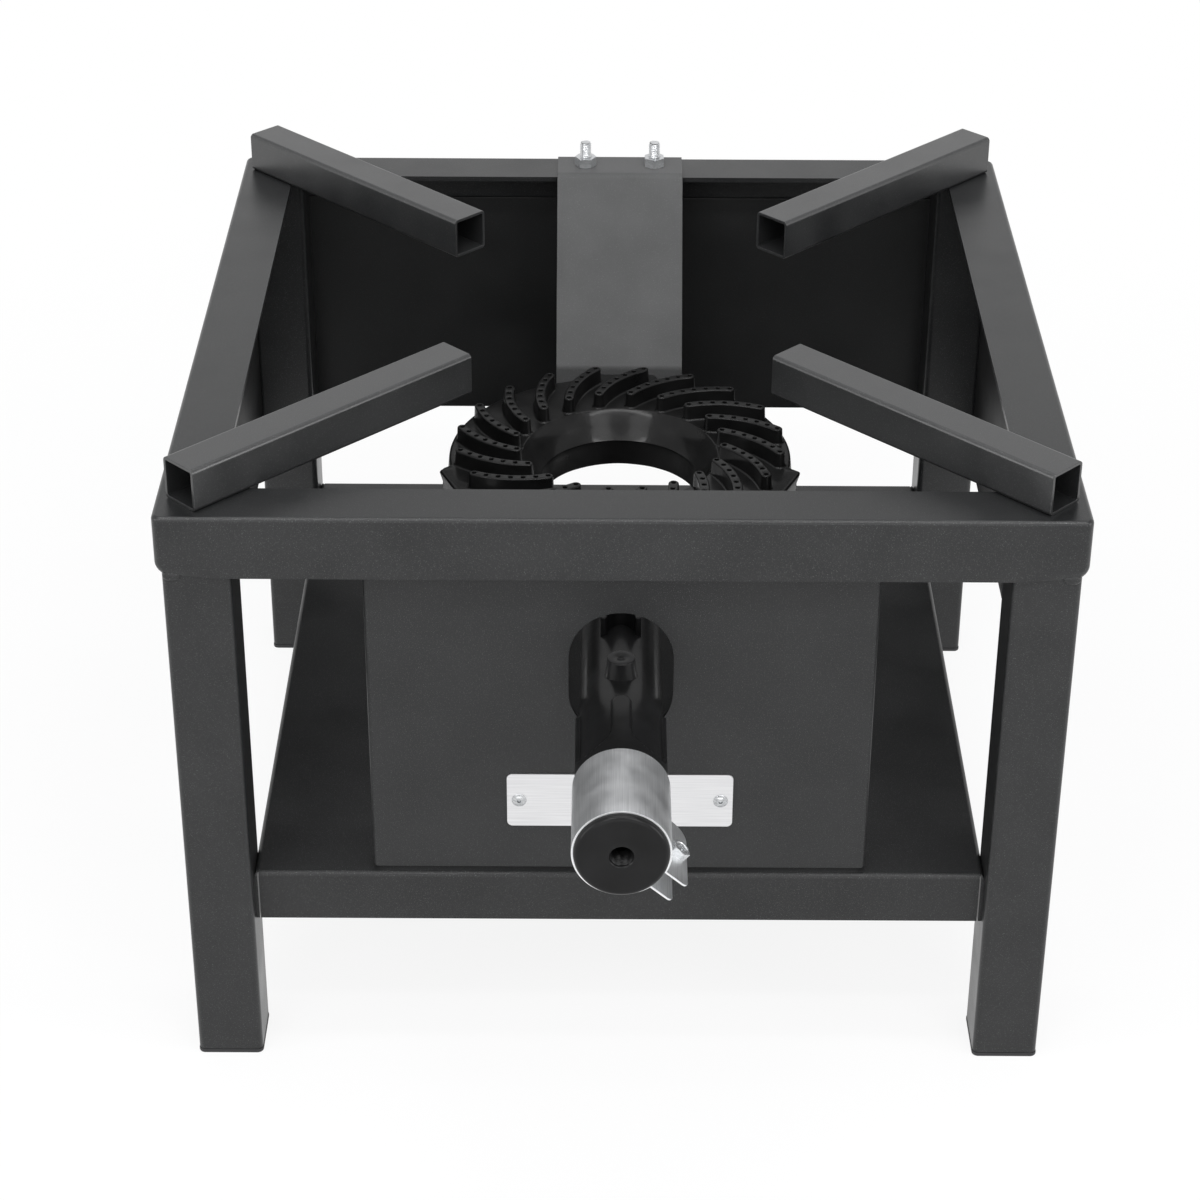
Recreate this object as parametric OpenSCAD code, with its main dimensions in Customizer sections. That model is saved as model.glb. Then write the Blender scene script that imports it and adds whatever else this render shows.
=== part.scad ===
// Single burner gas stove: a welded angle frame on four square legs, a cast ring burner
// held by a folded bracket, and a mixing tube with a sliding air shutter.
// Millimetres. The floor is z = 0, +Z is up and the gas inlet faces -Y.

/* [Frame] */
// Width of the frame, left to right
frame_w = 400; // [380:5:460]
// Depth of the frame, front to back
frame_d = 400; // [380:5:460]
// Height of the frame's top face above the floor
frame_h = 290; // [270:5:360]
// Width of the angle's top flange
flange_w = 27; // [26:0.5:30]
// Height of the angle's skirt
skirt_h = 29.5; // [26:0.5:36]
// Thickness of the angle
angle_t = 2.5; // [2:0.25:3]
// Radius along the angle's outer edge
angle_r = 2; // [1:0.25:2]
// Radius of the frame's upright corners
corner_r = 4; // [3:0.5:5]

/* [Legs] */
// Width of a square leg tube
leg_w = 30; // [25:1:32]
// Wall of a leg tube
leg_t = 1.5; // [1.5:0.25:2]
// Corner radius of a leg tube
leg_r = 3; // [2.5:0.25:4]
// Thickness of a foot cap's rim
foot_rim = 2; // [1.5:0.5:4]
// How far a foot cap's rim stands out past its leg
foot_lip = 0.2; // [0.1:0.1:0.5]
// Length of a foot cap's plug
foot_plug = 14; // [10:1:20]
// Wall of a foot cap's plug
foot_wall = 1.8; // [1.5:0.1:2.5]
// Gap between a foot cap's plug and its leg
foot_gap = 0.1; // [0.05:0.05:0.2]

/* [Pot supports] */
// Width of a pot support tube
support_w = 20; // [16:1:24]
// Wall of a pot support tube
support_t = 1.5; // [1:0.25:1.75]
// Corner radius of a pot support tube
support_r = 2; // [2:0.25:3]
// Length of a pot support
support_len = 160; // [140:5:180]
// Distance from the frame's corner to a support's outer end
support_setback = 16.5; // [12:0.5:20]

/* [Heat shelf] */
// Height of the shelf's top face above the floor
shelf_h = 98.5; // [80:0.5:110]
// Thickness of the shelf's sheet
shelf_t = 1.5; // [1:0.25:2]
// Height of the folded edges
shelf_lip = 25.7; // [18:0.1:30]
// Outer radius of the shelf's bends
shelf_bend = 2.6; // [2.2:0.1:4]
// Distance from the frame's front face to the shelf's front face
shelf_front = 11; // [8:0.5:12]
// Distance from the frame's rear face to the shelf's rear face
shelf_rear = 13; // [8:0.5:16]
// Width of the open seams at the shelf's corners
shelf_seam = 0.6; // [0.4:0.1:1]

/* [Front plate] */
// Width of the front plate
plate_w = 225; // [200:1:260]
// Thickness of the front plate
plate_t = 1.5; // [1:0.25:2]
// Distance from the frame's front face to the plate's face
plate_front = 13; // [12:0.5:14]
// Gap between the plate's lower edge and the shelf
plate_gap = 2.5; // [1.5:0.5:6]
// Depth of the plate's folded edges
plate_flange = 14; // [8:0.5:14]
// Outer radius of the plate's bends
plate_bend = 2.4; // [2.2:0.1:4]
// Width of the slot for the mixing tube
slot_w = 46; // [42:1:52]
// Height of the slot for the mixing tube
slot_h = 64; // [58:1:70]

/* [Heat shields] */
// Thickness of the shields' sheet
shield_t = 1.5; // [1:0.25:2]
// Distance from the frame's top face to the shields' upper edge
shield_drop = 21.4; // [12:0.1:24]
// Height of the rear shield
rear_shield_h = 126.5; // [100:0.5:140]
// Height of the side shields
side_shield_h = 143; // [110:1:150]
// Gap between a shield's end and the leg beside it
shield_gap = 1; // [0.5:0.25:2]

/* [Burner] */
// Distance from the frame's top face down to the fin tops
burner_drop = 65.5; // [55:0.5:75]
// Radius of the casting at its deck
deck_r = 84; // [84:0.5:90]
// Radius of the casting at its underside
base_r = 86; // [86:0.5:92]
// Radius of the central hole at the deck
rim_r = 47.7; // [44:0.1:48]
// Radius of the central hole at the underside
hole_r = 39; // [34:0.5:41]
// Depth of the coned part of the central hole
cone_h = 13.5; // [10:0.5:18]
// Depth of the casting below its deck
ring_h = 26.5; // [24:0.5:32]
// Wall of the casting
ring_wall = 3.5; // [2.5:0.25:4]
// Number of fins
fins = 20; // [16:1:22]
// Height of the fins above the deck
fin_h = 8; // [5:0.5:12]
// Width of a fin
fin_w = 5; // [4:0.25:6]
// Diameter of a fin's rounded ends
fin_end_d = 5.3; // [4.3:0.5:6.3]
// Radius on which the innermost port of each fin lies
fin_start_r = 51.5; // [50:0.5:53]
// Radius of the arc that a fin follows
fin_arc_r = 51.5; // [48:0.5:56]
// Angle between a fin's inner end and the radius
fin_lead = 31.2; // [26:0.2:36]
// Angle of arc from a fin's first port to its last
fin_sweep_angle = 40.5; // [34:0.5:42]
// Angle of the first fin from the right-hand side
fin_phase = 11.7; // [0:0.1:18]
// Ports along each fin
ports = 7; // [5:1:8]
// Diameter of a port
port_d = 2.3; // [1.8:0.1:2.8]
// Distance from the burner's axis to a lug's outer face
lug_reach = 88; // [87:0.5:94]
// Width of a lug
lug_w = 38; // [30:1:42]
// Depth of a lug along the radius
lug_depth = 15; // [14:0.5:18]

/* [Mixing tube] */
// Distance from the frame's top face down to the tube's axis
tube_drop = 99; // [94:0.5:106]
// Distance from the burner's axis to the tube's front face
tube_reach = 305.6; // [296:0.1:330]
// Diameter of the tube behind its head
tube_d = 36.4; // [34:0.1:38]
// Diameter of the head that the shutter slides on
head_d = 39.8; // [38.8:0.1:41]
// Length of the head's full round part
head_len = 55.6; // [50:0.1:60]
// Radius of the head's front edge
head_edge = 2.5; // [1:0.5:4]
// Distance from the burner's axis to the joint between casting and tube
neck_reach = 100; // [94:1:110]
// Bore of the tube at the burner end
bore_d = 28; // [24:0.5:29]
// Bore of the tube at its throat
throat_d = 22; // [18:0.5:24]
// Bore of the air chamber in the head
chamber_d = 31; // [28:0.5:32]
// Length of the throat
throat_len = 15; // [10:1:25]
// Length of the cone between the air chamber and the throat
mix_len = 20; // [15:1:25]
// Length of the threaded gas inlet
inlet_len = 12; // [9:0.5:14]
// Core diameter of the inlet thread, M10 x 1
inlet_d = 8.9; // [8:0.1:9.6]
// Diameter of the inlet's chamfer
inlet_mouth = 10.4; // [9.8:0.1:13]
// Length of an air window
window_len = 30; // [24:1:34]
// Width of an air window
window_w = 17; // [12:0.5:18]
// Distance from the air chamber's front wall to the windows
window_inset = 2.6; // [1:0.2:4]
// Width of the four ribs behind the head
rib_w = 9; // [6:0.5:10]
// Length of the top rib
rib_top_len = 38; // [32:1:42]
// Length of the side and bottom ribs
rib_side_len = 47; // [40:1:50]
// Radius where a rib widens into the head
rib_flare = 12; // [8:0.5:14]
// Diameter of the round boss on top of the tube
boss_d = 12.7; // [10:0.1:14]
// Height of the boss and the lug above the tube's axis
boss_h = 26; // [22:0.5:28]
// Distance from the burner's axis to the boss
boss_reach = 192; // [188:1:196]
// Outer diameter of the half-round lug behind the front plate
cup_d = 16; // [13:0.5:18]
// Wall of the half-round lug
cup_wall = 2.5; // [2:0.25:3]
// Distance from the burner's axis to the half-round lug
cup_reach = 157; // [145:1:162]

/* [Air shutter] */
// Length of the shutter's sleeve
sleeve_len = 46.5; // [42:0.5:48]
// Thickness of the shutter's sheet
sleeve_t = 0.9; // [0.8:0.1:1.2]
// Gap between the sleeve and the head it slides on
sleeve_gap = 0.08; // [0.02:0.01:0.1]
// Distance from the tube's front face to the closed sleeve
sleeve_inset = 3; // [2:0.5:5]
// Direction of the split, below the right-hand side
split_angle = 41; // [30:1:60]
// Distance from the tube's axis to the ears' outer edge
ear_reach = 32; // [30:0.5:36]
// Length of the ears along the tube
ear_len = 40; // [34:1:42]
// Gap between the ears
ear_gap = 8.6; // [5:0.2:10]
// Radius of the ears' front corners
ear_front_r = 3; // [2:0.5:4]
// Radius of the ears' rear corners
ear_rear_r = 8; // [4:0.5:10]
// Distance from the tube's axis to the clamp screw
clamp_reach = 26.5; // [26:0.25:28]
// Diameter of the clamp screw
clamp_d = 5; // [4:0.5:5]
// Length of the clamp screw under its head
clamp_len = 15; // [15:0.5:20]
// Width across the flats of the clamp screw and its nut
clamp_af = 8; // [7:0.5:8]
// Height of the clamp screw's head
clamp_head = 3.25; // [2:0.25:3.5]
// Height of the clamp nut
clamp_nut = 3.2; // [2.5:0.1:3.4]
// Gap round the clamp screw in the ears
clamp_hole_gap = 0.3; // [0.25:0.05:0.5]
// Gap round the clamp screw in its nut
thread_gap = 0.05; // [0.02:0.01:0.1]

/* [Bracket] */
// Width of the bracket
bracket_w = 66; // [56:1:80]
// Thickness of the bracket's strip
bracket_t = 3; // [2:0.25:4]
// Inner radius of the bracket's bends
bracket_bend = 2; // [1:0.5:3]
// Distance from the frame's rear face to the bracket's rear edge
bracket_inset = 6; // [2:0.5:6]
// Distance from the rear flange's edge to the bracket's upper bend
bracket_clear = 2.3; // [2:0.1:5]
// Depth of the bracket's lower bend below the frame's top face
knee_drop = 82.5; // [76:0.5:86]
// Distance from the lug's face to the bracket's upright part
knee_gap = 25.5; // [14:0.5:30]
// Distance from the burner bolt to the bracket's front end
foot_margin = 10; // [8:0.5:12]

/* [Fasteners] */
// Diameter of the frame and burner bolts
bolt_d = 6; // [5:1:6]
// Width across the flats of the bolts and nuts
bolt_af = 10; // [8:0.5:10]
// Height of a bolt head
bolt_head = 4; // [3:0.25:5]
// Height of a nut
nut_h = 5; // [4:0.25:6]
// Length of the bracket bolts under their heads
bolt_len = 20; // [16:0.5:20]
// Length of the burner bolt under its head
burner_bolt_len = 14; // [12:0.5:16]
// Diameter of a washer
washer_d = 12; // [11:0.5:12.5]
// Thickness of a washer
washer_t = 1.6; // [1:0.1:2]
// Gap round a bolt in its hole
bolt_gap = 0.3; // [0.2:0.05:0.5]
// Spacing of the two bracket bolts
bolt_spacing = 36.4; // [30:0.2:44]
// Distance from the frame's rear face to the bracket bolts
bolt_inset = 17.5; // [15:0.5:18]

/* [Nameplate] */
// Width of the bare plate on the front
badge_w = 102; // [80:1:120]
// Height of the bare plate
badge_h = 28; // [20:1:32]
// Thickness of the bare plate
badge_t = 0.8; // [0.5:0.1:1.5]
// Corner radius of the bare plate
badge_r = 2.5; // [1:0.5:4]
// Height of the bare plate's centre above the floor
badge_z = 138.4; // [126:0.2:142]
// Distance from each end of the bare plate to its rivet
rivet_margin = 5.5; // [4:0.5:8]
// Diameter of a rivet
rivet_d = 3.2; // [2.4:0.1:4]
// Diameter of a rivet's head
rivet_head_d = 6.8; // [6:0.1:8]
// Height of a rivet's head
rivet_head_h = 1.2; // [0.8:0.1:1.6]
// Diameter of a rivet's bulge behind the front plate
rivet_bulge_d = 4.8; // [4.4:0.1:6]
// Length of the bulge
rivet_bulge_h = 3.5; // [2:0.5:5]
// Diameter of the hole left by a rivet's mandrel
mandrel_d = 1.8; // [1.2:0.1:2.2]
// Gap round a rivet in its hole
rivet_gap = 0.1; // [0.05:0.05:0.2]

/* [Hidden] */
$fn = 64;
// Overrun of every cut past the face that it opens
cut = 1;
// Offset that puts the middle of the whole stove, tube included, at y = 0
centre_y = (tube_reach - frame_d / 2) / 2;
frame_under = frame_h - angle_t;
leg_out_x = frame_w / 2 - angle_t;
leg_out_y = frame_d / 2 - angle_t;
leg_in_x = leg_out_x - leg_w;
leg_in_y = leg_out_y - leg_w;
shelf_y0 = shelf_front - frame_d / 2;
shelf_y1 = frame_d / 2 - shelf_rear;
plate_y = plate_front - frame_d / 2;
plate_z0 = shelf_h + plate_gap;
corner_angle = atan2(frame_d, frame_w);
support_out = norm([frame_w, frame_d]) / 2 - support_setback;
fin_top = frame_h - burner_drop;
deck_z = fin_top - fin_h;
base_z = deck_z - ring_h;
lug_in = lug_reach - lug_depth;
lug_bolt_r = lug_in + lug_depth / 2;
// The rear lug, which the bracket holds, and the two spare lugs
lug_angles = [90, 203, 336.5];
tube_z = frame_h - tube_drop;
head_back = tube_reach - head_len;
head_r = head_d / 2;
tube_r = tube_d / 2;
// Gap between the tube and the bottom of the slot that it rests in
slot_rest = 0.3;
slot_r = slot_w / 2;
slot_z0 = tube_z - tube_r - slot_rest;
sleeve_in = head_r + sleeve_gap;
sleeve_out = sleeve_in + sleeve_t;
sleeve_y = centre_y - tube_reach + sleeve_inset;
ear_face = ear_gap / 2 + sleeve_t;
ear_root = sqrt(sleeve_out * sleeve_out - ear_face * ear_face) - sleeve_t / 2;
recess_depth_share = 0.5;
recess_width_share = 0.24;
foot_z = base_z - bracket_t / 2;
bolt_y = frame_d / 2 - bolt_inset;
rivet_spacing = badge_w - 2 * rivet_margin;

// Puts a piece drawn about the frame's middle into the stove's own place
module placed() {
    translate([0, centre_y, 0])
        children();
}

// Puts a piece drawn along +Z, with +Y up, onto the mixing tube's axis, reaching forward
module along_tube() {
    translate([0, centre_y, tube_z])
        rotate([90, 0, 0])
            children();
}

// Puts a piece drawn with the split along +X and the tube along +Y onto the shutter
module on_shutter() {
    translate([0, sleeve_y, tube_z])
        rotate([0, split_angle, 0])
            children();
}

// What a round corner of radius r takes off a square one, for material right of and below it
module corner_waste(r) {
    difference() {
        translate([-cut, -r])
            square([r + cut, r + cut]);
        translate([r, -r])
            circle(r);
    }
}

module rounded_rect(w, d, r) {
    square([w - 2 * r, d], center = true);
    square([w, d - 2 * r], center = true);
    for (sx = [-1, 1], sy = [-1, 1])
        translate([sx * (w / 2 - r), sy * (d / 2 - r)])
            circle(r);
}

// A square tube of length len along +Z, centred on its axis
module square_tube(w, wall, r, len) {
    linear_extrude(len)
        difference() {
            rounded_rect(w, w, r);
            rounded_rect(w - 2 * wall, w - 2 * wall, r - wall);
        }
}

// A box, w wide and h tall below y = 0, with both upper corners rounded
module round_topped(w, h, r) {
    difference() {
        translate([-w / 2, -h])
            square([w, h]);
        for (s = [0, 1])
            mirror([s, 0])
                translate([-w / 2, 0])
                    corner_waste(r);
    }
}

// Outline of a bent strip of thickness t that follows the middle line through path,
// with inner bend radius r
function turn(a, b, c) = let (u = b - a, v = c - b)
    atan2(u.x * v.y - u.y * v.x, u * v);
function bend_side(a, b, c, t, r, side) = let (
        bend = turn(a, b, c),
        s = bend > 0 ? 1 : -1,
        mid_r = r + t / 2,
        u = (b - a) / norm(b - a),
        start = b - u * mid_r * tan(abs(bend) / 2),
        middle = start + s * mid_r * [-u.y, u.x],
        radius = mid_r - s * side * t / 2,
        from = atan2(-s * u.x, s * u.y),
        steps = max(3, ceil(abs(bend) / 9)))
    [for (i = [0 : steps])
        middle + radius * [cos(from + bend * i / steps), sin(from + bend * i / steps)]];
function end_side(a, b, p, t, side) = let (u = (b - a) / norm(b - a))
    [p + side * t / 2 * [-u.y, u.x]];
function strip_side(path, t, r, side) = let (n = len(path)) concat(
    end_side(path[0], path[1], path[0], t, side),
    [for (i = [1 : n - 2]) each bend_side(path[i - 1], path[i], path[i + 1], t, r, side)],
    end_side(path[n - 2], path[n - 1], path[n - 1], t, side));
function strip_outline(path, t, r) = let (back = strip_side(path, t, r, -1)) concat(
    strip_side(path, t, r, 1),
    [for (i = [len(back) - 1 : -1 : 0]) back[i]]);

// One mitred side of the frame, on the -Y side of a frame of the given width and depth
module rail(w, d) {
    color("#434446")
        intersection() {
            translate([-w / 2, -d / 2, frame_h])
                rotate([90, 0, 90])
                    linear_extrude(w)
                        difference() {
                            union() {
                                translate([0, -skirt_h])
                                    square([angle_t, skirt_h]);
                                translate([0, -angle_t])
                                    square([flange_w, angle_t]);
                            }
                            corner_waste(angle_r);
                        }
            linear_extrude(frame_h + cut)
                polygon([[-w / 2 - cut, -d / 2 - cut], [w / 2 + cut, -d / 2 - cut],
                    [w / 2 - flange_w - cut, flange_w + cut - d / 2],
                    [flange_w + cut - w / 2, flange_w + cut - d / 2]]);
            linear_extrude(frame_h + cut)
                rounded_rect(w, d, corner_r);
        }
}

module rail_front() {
    placed()
        rail(frame_w, frame_d);
}

module rail_rear() {
    placed()
        difference() {
            rotate([0, 0, 180])
                rail(frame_w, frame_d);
            bracket_holes();
        }
}

module rail_left() {
    placed()
        rotate([0, 0, -90])
            rail(frame_d, frame_w);
}

module rail_right() {
    placed()
        rotate([0, 0, 90])
            rail(frame_d, frame_w);
}

// A leg stands inside the corner of the skirts, with its top against the flanges
module leg(sx, sy) {
    color("#404143")
        placed()
            translate([sx * (leg_out_x - leg_w / 2), sy * (leg_out_y - leg_w / 2), foot_rim])
                square_tube(leg_w, leg_t, leg_r, frame_under - foot_rim);
}

module foot_cap(sx, sy) {
    plug_w = leg_w - 2 * (leg_t + foot_gap);
    plug_r = leg_r - leg_t;
    rim_w = leg_w + 2 * foot_lip;
    color("#1d1d1e")
        placed()
            translate([sx * (leg_out_x - leg_w / 2), sy * (leg_out_y - leg_w / 2), 0]) {
                linear_extrude(foot_rim)
                    rounded_rect(rim_w, rim_w, leg_r);
                square_tube(plug_w, foot_wall, plug_r + foot_wall, foot_rim + foot_plug);
            }
}

// A pot support lies across the frame's corner and reaches towards the burner's axis
module pot_support(sx, sy) {
    toward = atan2(sy * sin(corner_angle), sx * cos(corner_angle));
    color("#48494b")
        placed()
            rotate([0, 0, toward])
                translate([support_out - support_len, 0, frame_h + support_w / 2])
                    rotate([0, 90, 0])
                        square_tube(support_w, support_t, support_r, support_len);
}

// A sheet pan turned upside down, with four folded edges and open seams at its corners
module heat_shelf() {
    w = 2 * leg_in_x;
    d = shelf_y1 - shelf_y0;
    inner_r = shelf_bend - shelf_t;
    color("#38393b")
        placed()
            translate([0, (shelf_y0 + shelf_y1) / 2, shelf_h])
                difference() {
                    pan_body(w, d, shelf_lip, shelf_bend);
                    translate([0, 0, -shelf_t])
                        pan_body(w - 2 * shelf_t, d - 2 * shelf_t, shelf_lip, inner_r);
                    for (sx = [-1, 1], sy = [-1, 1])
                        translate([sx * (w / 2 - shelf_t - shelf_seam / 2),
                            sy * (d / 2 - shelf_bend / 2 + cut / 2), -shelf_lip / 2 - cut / 2])
                            cube([shelf_seam, shelf_bend + cut, shelf_lip + cut], center = true);
                }
}

// A solid block below z = 0 whose four upper edges are rounded
module pan_body(w, d, h, r) {
    intersection() {
        translate([0, d / 2, 0])
            rotate([90, 0, 0])
                linear_extrude(d)
                    round_topped(w, h, r);
        translate([-w / 2, 0, 0])
            rotate([90, 0, 90])
                linear_extrude(w)
                    round_topped(d, h, r);
    }
}

// The front plate hangs from the front flange. Its sides and top fold towards the burner
module front_plate() {
    h = frame_under - plate_z0;
    color("#3f4042")
        placed()
            difference() {
                translate([0, plate_y, plate_z0])
                    difference() {
                        plate_body(plate_w, plate_flange, h, plate_bend);
                        translate([0, plate_t, -cut])
                            plate_body(plate_w - 2 * plate_t, plate_flange, h - plate_t + cut,
                                plate_bend - plate_t);
                    }
                translate([0, plate_y, 0])
                    tube_slot();
                rivet_places()
                    rivet_hole(plate_t);
            }
}

// A solid block behind y = 0 whose front is rounded along both sides and the top
module plate_body(w, d, h, r) {
    intersection() {
        linear_extrude(h)
            mirror([0, 1])
                round_topped(w, d, r);
        translate([-w / 2, 0, h])
            rotate([90, 0, 90])
                linear_extrude(w)
                    difference() {
                        translate([0, -h])
                            square([d, h]);
                        corner_waste(r);
                    }
    }
}

module tube_slot() {
    translate([0, -cut, slot_z0])
        rotate([-90, 0, 0])
            linear_extrude(plate_t + 2 * cut) {
                translate([0, -slot_r])
                    circle(slot_r);
                translate([0, slot_r - slot_h])
                    circle(slot_r);
                translate([-slot_r, slot_r - slot_h])
                    square([slot_w, slot_h - slot_w]);
            }
}

// Both rivets' places on the face of the front plate, with +Z pointing to the front
module rivet_places() {
    for (s = [-1, 1])
        translate([s * rivet_spacing / 2, plate_y, badge_z])
            rotate([90, 0, 0])
                children();
}

// A hole that starts at the plate's face and runs depth behind it and through the nameplate
module rivet_hole(depth) {
    translate([0, 0, -depth - cut])
        cylinder(h = depth + badge_t + 2 * cut, d = rivet_d + 2 * rivet_gap);
}

module nameplate() {
    color("#d9dadb")
        placed()
            difference() {
                translate([0, plate_y, badge_z])
                    rotate([90, 0, 0])
                        linear_extrude(badge_t)
                            rounded_rect(badge_w, badge_h, badge_r);
                rivet_places()
                    rivet_hole(0);
            }
}

module nameplate_rivets() {
    dome_r = (rivet_head_d * rivet_head_d / 4 + rivet_head_h * rivet_head_h) / (2 * rivet_head_h);
    color("#c6c8ca")
        placed()
            rivet_places()
                difference() {
                    union() {
                        translate([0, 0, badge_t])
                            intersection() {
                                cylinder(h = rivet_head_h, d = rivet_head_d);
                                translate([0, 0, rivet_head_h - dome_r])
                                    sphere(dome_r);
                            }
                        translate([0, 0, -plate_t])
                            cylinder(h = plate_t + badge_t, d = rivet_d);
                        translate([0, 0, -plate_t - rivet_bulge_h])
                            cylinder(h = rivet_bulge_h, d = rivet_bulge_d);
                    }
                    translate([0, 0, -plate_t])
                        cylinder(h = plate_t + badge_t + rivet_head_h + cut, d = mandrel_d);
                }
}

// A flat shield, w wide and h tall, against the inside of the -Y skirt
module shield(w, h, d) {
    color("#2c2d2e")
        translate([-w / 2, angle_t - d / 2, frame_h - shield_drop - h])
            cube([w, shield_t, h]);
}

module rear_shield() {
    placed()
        rotate([0, 0, 180])
            shield(2 * (leg_in_x - shield_gap), rear_shield_h, frame_d);
}

module side_shield_left() {
    placed()
        rotate([0, 0, -90])
            shield(2 * (leg_in_y - shield_gap), side_shield_h, frame_w);
}

module side_shield_right() {
    placed()
        rotate([0, 0, 90])
            shield(2 * (leg_in_y - shield_gap), side_shield_h, frame_w);
}

// Middle of a fin's arc, and the angle on it of port number i
fin_middle = [fin_start_r - fin_arc_r * sin(fin_lead), -fin_arc_r * cos(fin_lead)];
function port_angle(i) = 90 - fin_lead - fin_sweep_angle * i / (ports - 1);
function port_place(i) = fin_middle + fin_arc_r * [cos(port_angle(i)), sin(port_angle(i))];

module fin_outline() {
    reach = 2 * fin_arc_r;
    intersection() {
        translate(fin_middle)
            difference() {
                circle(fin_arc_r + fin_w / 2);
                circle(fin_arc_r - fin_w / 2);
            }
        polygon([fin_middle,
            for (i = [0, (ports - 1) / 2, ports - 1])
                fin_middle + reach * [cos(port_angle(i)), sin(port_angle(i))]]);
    }
    for (i = [0, ports - 1])
        translate(port_place(i))
            circle(fin_end_d / 2);
}

// The ring casting: a hollow ring with curved fins, three lugs and a neck for the tube
module burner_head() {
    color("#161616")
        placed()
            difference() {
                union() {
                    difference() {
                        union() {
                            ring_solid();
                            neck(tube_r, hole_r + ring_wall, neck_reach);
                        }
                        ring_chamber();
                        neck(bore_d / 2, hole_r + 2 * ring_wall, neck_reach + cut);
                    }
                    lugs();
                    translate([0, 0, deck_z - ring_wall / 2])
                        linear_extrude(fin_h + ring_wall / 2)
                            for (k = [0 : fins - 1])
                                rotate(fin_phase + 360 * k / fins)
                                    fin_outline();
                }
                translate([0, 0, base_z - tube_d])
                    cylinder(h = ring_h + tube_d - cone_h, r = hole_r);
                for (k = [0 : fins - 1], i = [0 : ports - 1])
                    rotate(fin_phase + 360 * k / fins)
                        translate([port_place(i).x, port_place(i).y, deck_z - ring_wall - cut])
                            cylinder(h = ring_wall + fin_h + 2 * cut, d = port_d);
                lug_hole();
            }
}

module ring_solid() {
    rotate_extrude()
        polygon([[hole_r, base_z], [base_r, base_z], [deck_r, deck_z], [rim_r, deck_z],
            [hole_r, deck_z - cone_h]]);
}

// The chamber's ceiling reaches in past the innermost ports
module ring_chamber() {
    rotate_extrude()
        polygon([[hole_r + ring_wall, base_z + ring_wall], [base_r - ring_wall, base_z + ring_wall],
            [deck_r - ring_wall, deck_z - ring_wall], [fin_start_r - port_d, deck_z - ring_wall],
            [hole_r + ring_wall, deck_z - cone_h]]);
}

// A round bar along the tube's axis, from one distance in front of the burner to another
module neck(r, from, to) {
    translate([0, -from, tube_z])
        rotate([90, 0, 0])
            cylinder(h = to - from, r = r);
}

module lugs() {
    for (a = lug_angles)
        rotate(a)
            translate([lug_in, -lug_w / 2, base_z])
                cube([lug_depth, lug_w, ring_h]);
}

module lug_hole() {
    translate([0, lug_bolt_r, base_z - cut])
        cylinder(h = burner_bolt_len + cut, d = bolt_d + 2 * thread_gap);
}

// The mixing tube: threaded inlet, air chamber with four windows, throat and widening bore
module mixing_tube() {
    chamber_front = tube_reach - inlet_len;
    throat_front = head_back - mix_len / 2;
    color("#1b1b1c")
        along_tube()
            difference() {
                union() {
                    translate([0, 0, neck_reach])
                        cylinder(h = head_back - neck_reach, r = tube_r);
                    translate([0, 0, head_back])
                        head();
                    rib(rib_top_len);
                    for (a = [90, 180, 270])
                        rotate(a)
                            rib(rib_side_len);
                    translate([0, 0, boss_reach])
                        rotate([-90, 0, 0])
                            cylinder(h = boss_h, d = boss_d);
                    translate([0, 0, cup_reach])
                        rotate([-90, 0, 0])
                            cup();
                }
                rotate_extrude()
                    polygon([[0, neck_reach - cut], [bore_d / 2, neck_reach - cut],
                        [bore_d / 2, neck_reach],
                        [throat_d / 2, throat_front - mix_len - throat_len],
                        [throat_d / 2, throat_front - mix_len],
                        [chamber_d / 2, throat_front], [chamber_d / 2, chamber_front],
                        [inlet_d / 2, chamber_front],
                        [inlet_d / 2, tube_reach - (inlet_mouth - inlet_d) / 2],
                        [inlet_mouth / 2, tube_reach], [inlet_mouth / 2, tube_reach + cut],
                        [0, tube_reach + cut]]);
                for (a = [45 : 90 : 315])
                    rotate(a)
                        translate([-window_w / 2, 0, chamber_front - window_inset - window_len])
                            cube([window_w, head_r + cut, window_len]);
            }
}

module head() {
    rotate_extrude()
        intersection() {
            union() {
                square([head_r, head_len - head_edge]);
                square([head_r - head_edge, head_len]);
                translate([head_r - head_edge, head_len - head_edge])
                    circle(head_edge);
            }
            square([head_r, head_len]);
        }
}

// A rib on top of the tube, as high as the head, that widens where it meets the head
module rib(length) {
    flare_z = head_back - rib_flare;
    intersection() {
        translate([0, head_r, 0])
            rotate([90, 0, 0])
                linear_extrude(head_r) {
                    translate([-rib_w / 2, head_back - length])
                        square([rib_w, length]);
                    for (s = [0, 1])
                        mirror([s, 0])
                            translate([rib_w / 2, flare_z])
                                difference() {
                                    square(rib_flare);
                                    translate([rib_flare, 0])
                                        circle(rib_flare);
                                }
                }
        translate([0, 0, head_back - length])
            cylinder(h = length, r = head_r);
    }
}

// A half-round lug, open to the front
module cup() {
    difference() {
        cylinder(h = boss_h, d = cup_d);
        translate([0, 0, -cut])
            cylinder(h = boss_h + 2 * cut, d = cup_d - 2 * cup_wall);
        translate([-cup_d / 2 - cut, -cup_d / 2 - cut, -cut])
            cube([cup_d + 2 * cut, cup_d / 2 + cut, boss_h + 2 * cut]);
    }
}

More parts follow.
